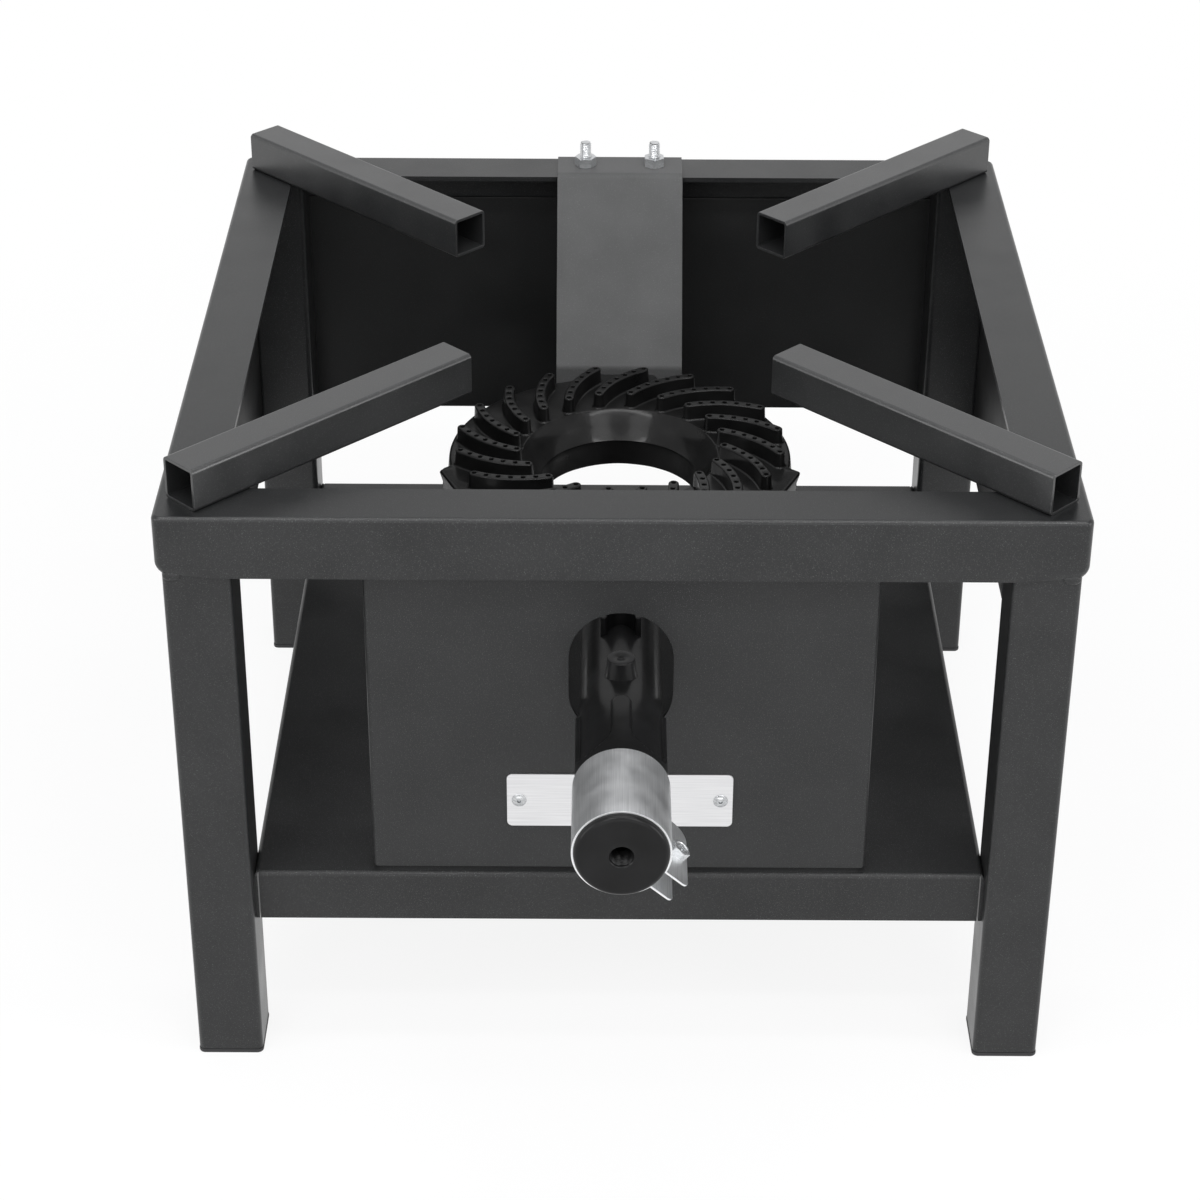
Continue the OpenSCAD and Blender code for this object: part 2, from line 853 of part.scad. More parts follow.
// The shutter: a rolled sleeve, open along one side, with two ears for the clamp screw
module air_shutter() {
    color("#b9bbbc")
        on_shutter()
            difference() {
                union() {
                    difference() {
                        rotate([-90, 0, 0])
                            cylinder(h = sleeve_len, r = sleeve_out);
                        translate([0, -cut, 0])
                            rotate([-90, 0, 0])
                                cylinder(h = sleeve_len + 2 * cut, r = sleeve_in);
                        translate([0, -cut, -ear_gap / 2])
                            cube([sleeve_out + cut, sleeve_len + 2 * cut, ear_gap]);
                    }
                    ear();
                    mirror([0, 0, 1])
                        ear();
                }
                translate([clamp_reach, ear_len / 2, -ear_face - cut])
                    cylinder(h = 2 * (ear_face + cut), d = clamp_d + 2 * clamp_hole_gap);
            }
}

module ear() {
    translate([ear_root, 0, ear_gap / 2])
        linear_extrude(sleeve_t)
            difference() {
                square([ear_reach - ear_root, ear_len]);
                translate([ear_reach - ear_root, ear_len])
                    mirror([1, 0])
                        corner_waste(ear_rear_r);
                translate([ear_reach - ear_root, 0])
                    rotate(180)
                        corner_waste(ear_front_r);
            }
}

// A hexagon of height h, w across its flats, with its upper corners turned off
module turned_hex(w, h) {
    corner_d = w / cos(30);
    intersection() {
        cylinder(h = h, d = corner_d, $fn = 6);
        union() {
            cylinder(h = h - (corner_d - w) / 2, d = corner_d + cut);
            translate([0, 0, h - (corner_d - w) / 2])
                cylinder(h = (corner_d - w) / 2, d1 = corner_d, d2 = w);
        }
    }
}

module shutter_screw() {
    color("#c9cbcc")
        on_shutter()
            translate([clamp_reach, ear_len / 2, ear_face])
                difference() {
                    union() {
                        turned_hex(clamp_af, clamp_head);
                        translate([0, 0, -clamp_len])
                            cylinder(h = clamp_len, d = clamp_d);
                    }
                    for (a = [0, 90])
                        rotate(a)
                            translate([0, 0, clamp_head + (cut - clamp_head * recess_depth_share) / 2])
                                cube([clamp_d, clamp_d * recess_width_share,
                                    clamp_head * recess_depth_share + cut], center = true);
                }
}

module shutter_nut() {
    color("#b4b6b8")
        on_shutter()
            translate([clamp_reach, ear_len / 2, -ear_face])
                mirror([0, 0, 1])
                    hex_nut(clamp_af, clamp_nut, clamp_d);
}

module hex_nut(w, h, d) {
    difference() {
        turned_hex(w, h);
        translate([0, 0, -cut])
            cylinder(h = h + 2 * cut, d = d + 2 * thread_gap);
    }
}

// The bracket: a strip from the rear flange down behind the burner and under its rear lug
module burner_bracket() {
    knee_y = lug_reach + knee_gap;
    path = [[frame_d / 2 - bracket_inset, frame_h + bracket_t / 2],
        [frame_d / 2 - flange_w - bracket_clear, frame_h + bracket_t / 2],
        [knee_y, frame_h - knee_drop],
        [knee_y, foot_z],
        [lug_bolt_r - foot_margin, foot_z]];
    color("#4c4d4f")
        placed()
            difference() {
                translate([-bracket_w / 2, 0, 0])
                    rotate([90, 0, 90])
                        linear_extrude(bracket_w)
                            polygon(strip_outline(path, bracket_t, bracket_bend));
                bracket_holes();
                translate([0, lug_bolt_r, base_z - bracket_t - cut])
                    cylinder(h = bracket_t + 2 * cut, d = bolt_d + 2 * bolt_gap);
            }
}

// Both bracket bolts' places, at the top face of the frame
module bracket_bolt_places() {
    for (s = [-1, 1])
        translate([s * bolt_spacing / 2, bolt_y, frame_h])
            children();
}

module bracket_holes() {
    bracket_bolt_places()
        translate([0, 0, -angle_t - cut])
            cylinder(h = angle_t + bracket_t + 2 * cut, d = bolt_d + 2 * bolt_gap);
}

// A bolt standing on its head, with the underside of the head at z = 0
module bolt(length) {
    cylinder(h = length, d = bolt_d);
    mirror([0, 0, 1])
        turned_hex(bolt_af, bolt_head);
}

module washer() {
    difference() {
        cylinder(h = washer_t, d = washer_d);
        translate([0, 0, -cut])
            cylinder(h = washer_t + 2 * cut, d = bolt_d + 2 * bolt_gap);
    }
}

module bracket_bolts() {
    color("#b9bbbc")
        placed()
            bracket_bolt_places()
                translate([0, 0, -angle_t - washer_t])
                    bolt(bolt_len);
}

module bracket_washers() {
    color("#b0b2b4")
        placed()
            bracket_bolt_places()
                translate([0, 0, -angle_t - washer_t])
                    washer();
}

module bracket_nuts() {
    color("#c4c6c8")
        placed()
            bracket_bolt_places()
                translate([0, 0, bracket_t])
                    hex_nut(bolt_af, nut_h, bolt_d);
}

module burner_bolt() {
    color("#b9bbbc")
        placed()
            translate([0, lug_bolt_r, base_z - bracket_t - washer_t])
                bolt(burner_bolt_len);
}

module burner_washer() {
    color("#b0b2b4")
        placed()
            translate([0, lug_bolt_r, base_z - bracket_t - washer_t])
                washer();
}

module leg_front_left() { leg(-1, -1); }
module leg_front_right() { leg(1, -1); }
module leg_rear_left() { leg(-1, 1); }
module leg_rear_right() { leg(1, 1); }
module foot_cap_front_left() { foot_cap(-1, -1); }
module foot_cap_front_right() { foot_cap(1, -1); }
module foot_cap_rear_left() { foot_cap(-1, 1); }
module foot_cap_rear_right() { foot_cap(1, 1); }
module pot_support_front_left() { pot_support(-1, -1); }
module pot_support_front_right() { pot_support(1, -1); }
module pot_support_rear_left() { pot_support(-1, 1); }
module pot_support_rear_right() { pot_support(1, 1); }

rail_front();
rail_rear();
rail_left();
rail_right();
leg_front_left();
leg_front_right();
leg_rear_left();
leg_rear_right();
foot_cap_front_left();
foot_cap_front_right();
foot_cap_rear_left();
foot_cap_rear_right();
pot_support_front_left();
pot_support_front_right();
pot_support_rear_left();
pot_support_rear_right();
heat_shelf();
front_plate();
rear_shield();
side_shield_left();
side_shield_right();
burner_head();
mixing_tube();
air_shutter();
shutter_screw();
shutter_nut();
burner_bracket();
bracket_bolts();
bracket_washers();
bracket_nuts();
burner_bolt();
burner_washer();
nameplate();
nameplate_rivets();
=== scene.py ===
import math

import bmesh
import bpy
from mathutils import Matrix, Vector, noise


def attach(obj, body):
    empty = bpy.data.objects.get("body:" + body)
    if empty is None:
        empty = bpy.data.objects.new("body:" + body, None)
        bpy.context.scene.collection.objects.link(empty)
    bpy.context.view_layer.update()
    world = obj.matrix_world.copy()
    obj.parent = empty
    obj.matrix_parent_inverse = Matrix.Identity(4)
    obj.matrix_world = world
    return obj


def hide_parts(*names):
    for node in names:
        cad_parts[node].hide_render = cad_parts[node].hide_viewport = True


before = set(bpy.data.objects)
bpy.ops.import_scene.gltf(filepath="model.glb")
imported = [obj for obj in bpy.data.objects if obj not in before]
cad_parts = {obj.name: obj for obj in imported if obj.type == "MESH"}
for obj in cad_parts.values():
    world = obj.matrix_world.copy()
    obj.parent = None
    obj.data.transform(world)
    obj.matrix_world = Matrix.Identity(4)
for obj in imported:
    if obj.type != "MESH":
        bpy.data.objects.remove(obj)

noise.seed_set(5)  # the same cast and welded surfaces every time
mm = 0.001
near = 0.01 * mm  # places closer than this count as one
cadNear = 0.002 * mm  # the same, for the facets of the solids
spinNear = 0.001 * mm  # the same, for the seam of a turned line
flatTurn = 0.4  # degrees between two facets that count as one flat
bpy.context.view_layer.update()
# The burner stands on this upright axis, and the mixing tube lies along -Y at this height
burnerY = 52.8 * mm
tubeZ = 191 * mm


corners = [(-1, -1), (-1, 1), (1, -1), (1, 1)]


def sideName(start, sx, sy):
    return start + ("Front" if sy < 0 else "Rear") + ("Left" if sx < 0 else "Right")


def nodeName(start, sx, sy):
    return start + ("_front" if sy < 0 else "_rear") + ("_left" if sx < 0 else "_right")


# Mesh helpers

def addObject(name, data):
    thing = bpy.data.objects.new(name, data)
    bpy.context.scene.collection.objects.link(thing)
    return thing


def showPiece(bm, name, material, body="stove", stands=(), sharp=35, weighted=True):
    bmesh.ops.recalc_face_normals(bm, faces=bm.faces[:])
    mesh = bpy.data.meshes.new(name)
    bm.to_mesh(mesh)
    bm.free()
    if "custom_normal" in mesh.attributes:
        mesh.attributes.remove(mesh.attributes["custom_normal"])
    mesh.materials.clear()
    mesh.materials.append(material)
    mesh.shade_smooth()
    mesh.set_sharp_from_angle(angle=math.radians(sharp))
    piece = addObject(name, mesh)
    if weighted:
        even = piece.modifiers.new("even shading", "WEIGHTED_NORMAL")
        even.keep_sharp = True
    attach(piece, body)
    if stands:
        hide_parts(*stands)
    return piece


def cadCopy(node):
    bm = bmesh.new()
    bm.from_mesh(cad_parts[node].data)
    bmesh.ops.remove_doubles(bm, verts=bm.verts[:], dist=cadNear)
    bmesh.ops.dissolve_limit(bm, angle_limit=math.radians(flatTurn), verts=bm.verts[:],
                             edges=bm.edges[:], use_dissolve_boundaries=False)
    return bm


def roundEdges(bm, edges, width, segments, clamp=False):
    bmesh.ops.bevel(bm, geom=edges, offset=width, offset_type="OFFSET", segments=segments,
                    profile=0.5, affect="EDGES", material=-1, clamp_overlap=clamp)


def breakEdges(bm, width, angle, segments=2):
    rims = [e for e in bm.edges if e.is_manifold and e.calc_face_angle() > math.radians(angle)]
    roundEdges(bm, rims, width, segments, clamp=True)


def cutAcross(bm, point, across, dist=near):
    bmesh.ops.bisect_plane(bm, geom=bm.verts[:] + bm.edges[:] + bm.faces[:], dist=dist,
                           plane_co=point, plane_no=across)


def sweep(bm, geom, centre, angle, steps, copies=False):
    # Turns part of a mesh about an upright axis, and draws what it passes or sets copies
    return bmesh.ops.spin(bm, geom=geom, cent=centre, axis=(0, 0, 1), angle=angle, steps=steps,
                          dvec=(0, 0, 0), space=Matrix.Identity(4), use_merge=False,
                          use_duplicate=copies)


def raiseFaces(bm, height):
    made = bmesh.ops.extrude_face_region(bm, geom=bm.faces[:])
    tops = [g for g in made["geom"] if isinstance(g, bmesh.types.BMVert)]
    bmesh.ops.translate(bm, vec=(0, 0, height), verts=tops)


def spinLine(bm, points, centre, axis, steps):
    # points are world places of one profile line, which turns once about the axis
    verts = [bm.verts.new(p) for p in points]
    edges = [bm.edges.new(pair) for pair in zip(verts, verts[1:])]
    bmesh.ops.spin(bm, geom=verts + edges, cent=centre, axis=axis, dvec=(0, 0, 0),
                   angle=math.tau, space=Matrix.Identity(4), steps=steps,
                   use_merge=True, use_normal_flip=False, use_duplicate=False)
    bmesh.ops.remove_doubles(bm, verts=bm.verts[:], dist=spinNear)


def arcPoints(centre, radius, fromDeg, toDeg, steps):
    return [(centre[0] + radius * math.cos(math.radians(fromDeg + (toDeg - fromDeg) * i / steps)),
             centre[1] + radius * math.sin(math.radians(fromDeg + (toDeg - fromDeg) * i / steps)))
            for i in range(steps + 1)]


def stretch(start, end, steps):
    return [start + (end - start) * i / steps for i in range(steps + 1)]


def soften(x):
    x = min(1.0, max(0.0, x))
    return x * x * (3 - 2 * x)


def ripple(bm, amount, scale):
    # Slow waves in a cast or welded surface
    for v in bm.verts:
        v.co += Vector(noise.noise_vector(v.co * scale)) * amount


# Shared surface effects

def newGroup(name, inputs, outputs):
    group = bpy.data.node_groups.new(name, "ShaderNodeTree")
    for label, value in inputs:
        socket = group.interface.new_socket(label, in_out="INPUT", socket_type="NodeSocketFloat")
        socket.default_value = value
    for label in outputs:
        group.interface.new_socket(label, in_out="OUTPUT", socket_type="NodeSocketFloat")
    return group, group.nodes.new("NodeGroupInput"), group.nodes.new("NodeGroupOutput")


def noiseNode(tree, vector, scale, detail=2.0, rough=0.5):
    node = tree.nodes.new("ShaderNodeTexNoise")
    tree.links.new(vector, node.inputs["Vector"])
    node.inputs["Detail"].default_value = detail
    node.inputs["Roughness"].default_value = rough
    if isinstance(scale, (int, float)):
        node.inputs["Scale"].default_value = scale
    else:
        tree.links.new(scale, node.inputs["Scale"])
    return node


def rangeNode(tree, value, fromLow, fromHigh, toLow, toHigh):
    node = tree.nodes.new("ShaderNodeMapRange")
    tree.links.new(value, node.inputs["Value"])
    for label, number in (("From Min", fromLow), ("From Max", fromHigh),
                          ("To Min", toLow), ("To Max", toHigh)):
        node.inputs[label].default_value = number
    return node.outputs["Result"]


def mathNode(tree, kind, a, b):
    node = tree.nodes.new("ShaderNodeMath")
    node.operation = kind
    for place, value in ((0, a), (1, b)):
        if isinstance(value, (int, float)):
            node.inputs[place].default_value = value
        else:
            tree.links.new(value, node.inputs[place])
    return node.outputs[0]


coatLook = {"waves": 260.0, "waveHeight": 0.5, "dots": 2600.0, "dotFrom": 0.62, "dotTo": 0.74, "tone": 34.0}
castLook = {"lumps": 190.0, "lumpHeight": 1.4, "cells": 330.0, "pitFull": 0.08, "pitNone": 0.3, "tone": 60.0}
lineLook = {"across": 2200.0, "along": 30.0, "low": 0.35, "high": 0.65, "tone": 90.0}


def buildCoatGrain():
    # Powder coat: fine orange peel, tiny bright flecks and slow changes of tone
    s = coatLook
    group, given, result = newGroup("coatGrain", [("Grain", 1500.0), ("Flecks", 0.5)],
                                    ["Height", "Fleck", "Tone"])
    place = group.nodes.new("ShaderNodeTexCoord").outputs["Object"]
    peel = noiseNode(group, place, given.outputs["Grain"], 3.0, 0.6)
    waves = noiseNode(group, place, s["waves"], 1.0)
    height = mathNode(group, "ADD", peel.outputs["Fac"],
                      mathNode(group, "MULTIPLY", waves.outputs["Fac"], s["waveHeight"]))
    group.links.new(height, result.inputs["Height"])
    dots = noiseNode(group, place, s["dots"], 1.0)
    fleck = rangeNode(group, dots.outputs["Fac"], s["dotFrom"], s["dotTo"], 0.0, 1.0)
    group.links.new(mathNode(group, "MULTIPLY", fleck, given.outputs["Flecks"]),
                    result.inputs["Fleck"])
    tone = noiseNode(group, place, s["tone"], 3.0)
    group.links.new(tone.outputs["Fac"], result.inputs["Tone"])
    return group


def buildCastGrain():
    # Cast iron skin: sand grain, shallow pits and soft lumps
    s = castLook
    group, given, result = newGroup("castGrain", [("Grain", 900.0), ("Pits", 0.5)], ["Height", "Tone"])
    place = group.nodes.new("ShaderNodeTexCoord").outputs["Object"]
    sand = noiseNode(group, place, given.outputs["Grain"], 4.0, 0.65)
    lumps = noiseNode(group, place, s["lumps"], 2.0)
    cells = group.nodes.new("ShaderNodeTexVoronoi")
    cells.inputs["Scale"].default_value = s["cells"]
    group.links.new(place, cells.inputs["Vector"])
    bottom = rangeNode(group, cells.outputs["Distance"], s["pitFull"], s["pitNone"], 1.0, 0.0)
    pit = mathNode(group, "MULTIPLY", bottom, given.outputs["Pits"])
    height = mathNode(group, "ADD", sand.outputs["Fac"],
                      mathNode(group, "MULTIPLY", lumps.outputs["Fac"], s["lumpHeight"]))
    group.links.new(mathNode(group, "SUBTRACT", height, pit), result.inputs["Height"])
    tone = noiseNode(group, place, s["tone"], 4.0)
    group.links.new(tone.outputs["Fac"], result.inputs["Tone"])
    return group


def buildLinesAlong(axisIndex, name):
    # Fine lines drawn along one axis, as on rolled or brushed sheet
    s = lineLook
    group, given, result = newGroup(name, [("Across", s["across"]), ("Along", s["along"])],
                                    ["Height", "Streak", "Tone"])
    place = group.nodes.new("ShaderNodeTexCoord").outputs["Object"]
    parts = group.nodes.new("ShaderNodeCombineXYZ")
    for i in range(3):
        group.links.new(given.outputs["Along" if i == axisIndex else "Across"], parts.inputs[i])
    scaled = group.nodes.new("ShaderNodeVectorMath")
    scaled.operation = "MULTIPLY"
    group.links.new(place, scaled.inputs[0])
    group.links.new(parts.outputs[0], scaled.inputs[1])
    fine = noiseNode(group, scaled.outputs[0], 1.0, 3.0, 0.6)
    group.links.new(fine.outputs["Fac"], result.inputs["Height"])
    group.links.new(rangeNode(group, fine.outputs["Fac"], s["low"], s["high"], 0.0, 1.0),
                    result.inputs["Streak"])
    tone = noiseNode(group, place, s["tone"], 3.0)
    group.links.new(tone.outputs["Fac"], result.inputs["Tone"])
    return group


coatGrain = buildCoatGrain()
castGrain = buildCastGrain()
linesAlongX = buildLinesAlong(0, "linesAlongX")
linesAlongY = buildLinesAlong(1, "linesAlongY")


def newFinish(name):
    material = bpy.data.materials.new(name)
    material.use_nodes = True
    tree = material.node_tree
    tree.nodes.clear()
    out = tree.nodes.new("ShaderNodeOutputMaterial")
    shader = tree.nodes.new("ShaderNodeBsdfPrincipled")
    tree.links.new(shader.outputs[0], out.inputs["Surface"])
    return material, tree, shader


def placeGroup(tree, group, **values):
    node = tree.nodes.new("ShaderNodeGroup")
    node.node_tree = group
    for label, value in values.items():
        node.inputs[label].default_value = value
    return node


toneSpan = (0.3, 0.7)  # the part of a noise's range that a finish spreads its tones over


def tint(tree, value, low, high, span=toneSpan):
    ramp = tree.nodes.new("ShaderNodeValToRGB")
    ramp.color_ramp.elements[0].position = span[0]
    ramp.color_ramp.elements[1].position = span[1]
    ramp.color_ramp.elements[0].color = (*low, 1)
    ramp.color_ramp.elements[1].color = (*high, 1)
    tree.links.new(value, ramp.inputs["Fac"])
    return ramp.outputs["Color"]


def addSurface(tree, shader, grain, rough, distance):
    # The roughness follows the grain's tone, and the relief its height
    spread = rangeNode(tree, grain.outputs["Tone"], *toneSpan, *rough)
    tree.links.new(spread, shader.inputs["Roughness"])
    bump = tree.nodes.new("ShaderNodeBump")
    bump.inputs["Strength"].default_value = 1.0
    bump.inputs["Distance"].default_value = distance
    tree.links.new(grain.outputs["Height"], bump.inputs["Height"])
    tree.links.new(bump.outputs["Normal"], shader.inputs["Normal"])


fleckShade = (0.3, 0.3, 0.3, 1)
coatRoughness = 0.12


def paintFinish(name, dark, light, rough, peel, grain=1500.0, flecks=0.5, gloss=0.5):
    material, tree, shader = newFinish(name)
    shader.inputs["Specular IOR Level"].default_value = gloss
    coat = placeGroup(tree, coatGrain, Grain=grain, Flecks=flecks)
    base = tint(tree, coat.outputs["Tone"], dark, light)
    mix = tree.nodes.new("ShaderNodeMix")
    mix.data_type = "RGBA"
    mix.inputs["B"].default_value = fleckShade
    tree.links.new(coat.outputs["Fleck"], mix.inputs["Factor"])
    tree.links.new(base, mix.inputs["A"])
    tree.links.new(mix.outputs["Result"], shader.inputs["Base Color"])
    addSurface(tree, shader, coat, rough, peel)
    return material


def castFinish(name, dark, light, rough, depth, grain=900.0, pits=0.5, coat=0.0, gloss=0.4):
    material, tree, shader = newFinish(name)
    shader.inputs["Specular IOR Level"].default_value = gloss
    skin = placeGroup(tree, castGrain, Grain=grain, Pits=pits)
    tree.links.new(tint(tree, skin.outputs["Tone"], dark, light), shader.inputs["Base Color"])
    shader.inputs["Coat Weight"].default_value = coat
    shader.inputs["Coat Roughness"].default_value = coatRoughness
    addSurface(tree, shader, skin, rough, depth)
    return material


def metalFinish(name, group, dark, light, rough, depth, across=2200.0, along=30.0, metal=1.0):
    material, tree, shader = newFinish(name)
    shader.inputs["Metallic"].default_value = metal
    lines = placeGroup(tree, group, Across=across, Along=along)
    tree.links.new(tint(tree, lines.outputs["Streak"], dark, light, (0.0, 1.0)),
                   shader.inputs["Base Color"])
    addSurface(tree, shader, lines, rough, depth)
    return material


framePaint = paintFinish("frame powder coat", (0.012, 0.0125, 0.013), (0.017, 0.0175, 0.018),
                         (0.28, 0.38), 0.03 * mm, grain=2000.0, flecks=0.22, gloss=0.4)
supportPaint = paintFinish("pot support powder coat", (0.013, 0.0135, 0.014), (0.018, 0.0185, 0.019),
                           (0.28, 0.38), 0.03 * mm, grain=2000.0, flecks=0.22, gloss=0.85)
# Painted light: the bracket has the frame's paint, but its base colour is several times lighter, standing in
# for the light on its sloped face
bracketCoatWithPaintedLight = paintFinish("bracket coat lightened as painted light", (0.080, 0.0805, 0.081), (0.096, 0.0965, 0.097),
                           (0.36, 0.46), 0.03 * mm, grain=2000.0, flecks=0.2, gloss=0.12)
platePaint = paintFinish("front plate powder coat", (0.012, 0.0125, 0.013), (0.016, 0.0165, 0.017),
                         (0.38, 0.48), 0.025 * mm, grain=2000.0, flecks=0.25, gloss=0.38)
# Painted shade: the shelf has the front plate's paint, but its base colour is darker, standing in for the
# shade on it under the burner and frame
shelfCoatWithPaintedShade = paintFinish("shelf coat darkened as painted shade", (0.009, 0.0093, 0.0097), (0.013, 0.0134, 0.0138),
                         (0.4, 0.5), 0.025 * mm, flecks=0.3, gloss=0.4)
# Painted shade: the shields have the frame's paint, but their base colour is darker, standing in for the
# shade inside the frame
shieldCoatWithPaintedShade = paintFinish("shield coat darkened as painted shade", (0.006, 0.0062, 0.0064), (0.009, 0.0092, 0.0094),
                          (0.42, 0.52), 0.025 * mm, flecks=0.1, gloss=0.42)
burnerIron = castFinish("black burner casting", (0.005, 0.005, 0.005), (0.010, 0.010, 0.010),
                        (0.26, 0.4), 0.06 * mm, coat=0.18, gloss=0.12)
tubeIron = castFinish("satin black casting", (0.006, 0.006, 0.006), (0.010, 0.010, 0.0105),
                      (0.28, 0.4), 0.05 * mm, grain=1200.0, pits=0.1, coat=0.12, gloss=0.12)
shutterSteel = metalFinish("drawn zinc sheet", linesAlongY, (0.78, 0.79, 0.80), (0.93, 0.94, 0.95),
                           (0.34, 0.44), 0.006 * mm, metal=0.94)
zincPlate = metalFinish("bright zinc", linesAlongX, (0.50, 0.51, 0.52), (0.66, 0.67, 0.68),
                        (0.24, 0.34), 0.004 * mm, 1500.0, 400.0, metal=0.8)
bareAluminium = metalFinish("bare aluminium", linesAlongX, (0.70, 0.70, 0.71), (0.80, 0.80, 0.81),
                            (0.34, 0.44), 0.003 * mm)
rivetAluminium = metalFinish("bright rivet", linesAlongX, (0.42, 0.43, 0.44), (0.60, 0.61, 0.62),
                             (0.16, 0.26), 0.004 * mm, 1500.0, 500.0)
footPlastic = paintFinish("black foot plastic", (0.012, 0.012, 0.013), (0.018, 0.018, 0.019),
                          (0.45, 0.6), 0.02 * mm, 1100.0, 0.0)
print("finishes made")


# The frame: one welded ring of angle, its mitres ground flat and painted over

frameSizes = {
    "width": 400 * mm, "top": 290 * mm, "skirt": 29.5 * mm, "flange": 27 * mm,
    "wall": 2.5 * mm, "corner": 4 * mm, "edge": 2 * mm, "softEdge": 0.9 * mm,
    "groundHigh": 6.8 * mm, "groundDeep": 3.825 * mm, "groundBands": 5,
}


def buildFrame():
    s = frameSizes
    bm = bmesh.new()
    bmesh.ops.create_cube(bm, size=1)
    bmesh.ops.scale(bm, vec=(s["width"], s["width"], s["skirt"]), verts=bm.verts[:])
    bmesh.ops.translate(bm, vec=(0, burnerY, s["top"] - s["skirt"] / 2), verts=bm.verts[:])
    upright = [e for e in bm.edges if abs(e.verts[0].co.z - e.verts[1].co.z) > s["skirt"] / 2]
    roundEdges(bm, upright, s["corner"], 6)
    inner = s["width"] / 2 - s["flange"]
    for side in (-1, 1):
        cutAcross(bm, (side * inner, 0, 0), (1, 0, 0))
        cutAcross(bm, (0, burnerY + side * inner, 0), (0, 1, 0))
    opening = [f for f in bm.faces if f.normal.z > 0.9 and abs(f.calc_center_median().x) < inner
               and abs(f.calc_center_median().y - burnerY) < inner]
    bottom = [f for f in bm.faces if f.normal.z < -0.9]
    bmesh.ops.delete(bm, geom=opening + bottom, context="FACES")
    outer = [e for e in bm.edges if not e.is_boundary and e.calc_face_angle() > math.radians(80)
             and abs(e.verts[0].co.z - s["top"]) < mm and abs(e.verts[1].co.z - s["top"]) < mm]
    roundEdges(bm, outer, s["edge"], 4)
    # The skirt's lower corners are ground round
    low = s["top"] - s["skirt"]
    for height in stretch(low, low + s["groundHigh"], s["groundBands"])[1:]:
        cutAcross(bm, (0, 0, height), (0, 0, 1))
    half = s["width"] / 2
    for v in bm.verts:
        x, y = abs(v.co.x), abs(v.co.y - burnerY)
        share = 1 - (v.co.z - low) / s["groundHigh"]
        if share > 0 and x > half - s["corner"] - mm and y > half - s["corner"] - mm:
            pull = s["groundDeep"] * share * share
            v.co.x -= math.copysign(pull * (x - half + s["corner"]) / s["corner"], v.co.x)
            v.co.y -= math.copysign(pull * (y - half + s["corner"]) / s["corner"], v.co.y - burnerY)
    piece = showPiece(bm, "weldedAngleFrame", framePaint, weighted=False,
                      stands=("rail_front", "rail_rear", "rail_left", "rail_right"))
    wall = piece.modifiers.new("wall", "SOLIDIFY")
    wall.thickness = s["wall"]
    wall.offset = -1
    wall.use_even_offset = True
    edges = piece.modifiers.new("soft edges", "BEVEL")
    edges.width = s["softEdge"]
    edges.segments = 3
    edges.limit_method = "ANGLE"
    edges.angle_limit = math.radians(50)
    even = piece.modifiers.new("even shading", "WEIGHTED_NORMAL")
    even.keep_sharp = True


legSizes = {"softEdge": 0.5 * mm}
supportSizes = {"softEdge": 0.25 * mm}
weldSizes = {"wide": 4 * mm, "deep": 1.3 * mm, "high": 2.4 * mm, "inset": 4.5 * mm, "lumps": 0.25 * mm,
             "lumpScale": 420}


def buildCorner(start, pieceStart, sx, sy, softEdge, material):
    node = nodeName(start, sx, sy)
    bm = cadCopy(node)
    breakEdges(bm, softEdge, 50)
    showPiece(bm, sideName(pieceStart, sx, sy), material, stands=(node,))


def buildLegs():
    soft = legSizes["softEdge"]
    for sx, sy in corners:
        buildCorner("leg", "legTube", sx, sy, soft, framePaint)
        buildCorner("foot_cap", "footCap", sx, sy, soft, footPlastic)


def buildWelds():
    # A short ground bead under the skirt's edge, on the outer side of each leg's face
    w = weldSizes
    bm = bmesh.new()
    low = frameSizes["top"] - frameSizes["skirt"]
    face = frameSizes["width"] / 2 - frameSizes["wall"]
    for sx, sy in corners:
        place = Matrix.Translation((sx * (face - w["inset"]), burnerY + sy * face, low))
        bmesh.ops.create_icosphere(bm, subdivisions=3, radius=1, matrix=place
                                   @ Matrix.Diagonal((w["wide"], w["deep"], w["high"], 1)))
    ripple(bm, w["lumps"], w["lumpScale"])
    showPiece(bm, "weldBeads", framePaint, sharp=60, weighted=False)


def buildSupports():
    for sx, sy in corners:
        buildCorner("pot_support", "potSupport", sx, sy, supportSizes["softEdge"], supportPaint)


buildFrame()
buildLegs()
buildWelds()
buildSupports()
print("frame, legs and pot supports made")


# Folded and flat sheet

sheetSizes = {"shieldHalf": 166.5 * mm, "shieldReach": 168.2 * mm, "shieldEdge": 0.5 * mm,
              "endBand": 0.1 * mm, "foldEdge": 0.4 * mm, "bracketEdge": 0.8 * mm, "plateEdge": 0.12 * mm}


def closeShield(bm):
    # The ends of a shield drawn up to the legs, so that no light shows between them
    half, reach, band = (sheetSizes[size] for size in ("shieldHalf", "shieldReach", "endBand"))
    for v in bm.verts:
        if abs(abs(v.co.x) - half) < band:
            v.co.x = math.copysign(reach, v.co.x)
        if abs(abs(v.co.y - burnerY) - half) < band:
            v.co.y = burnerY + math.copysign(reach, v.co.y - burnerY)


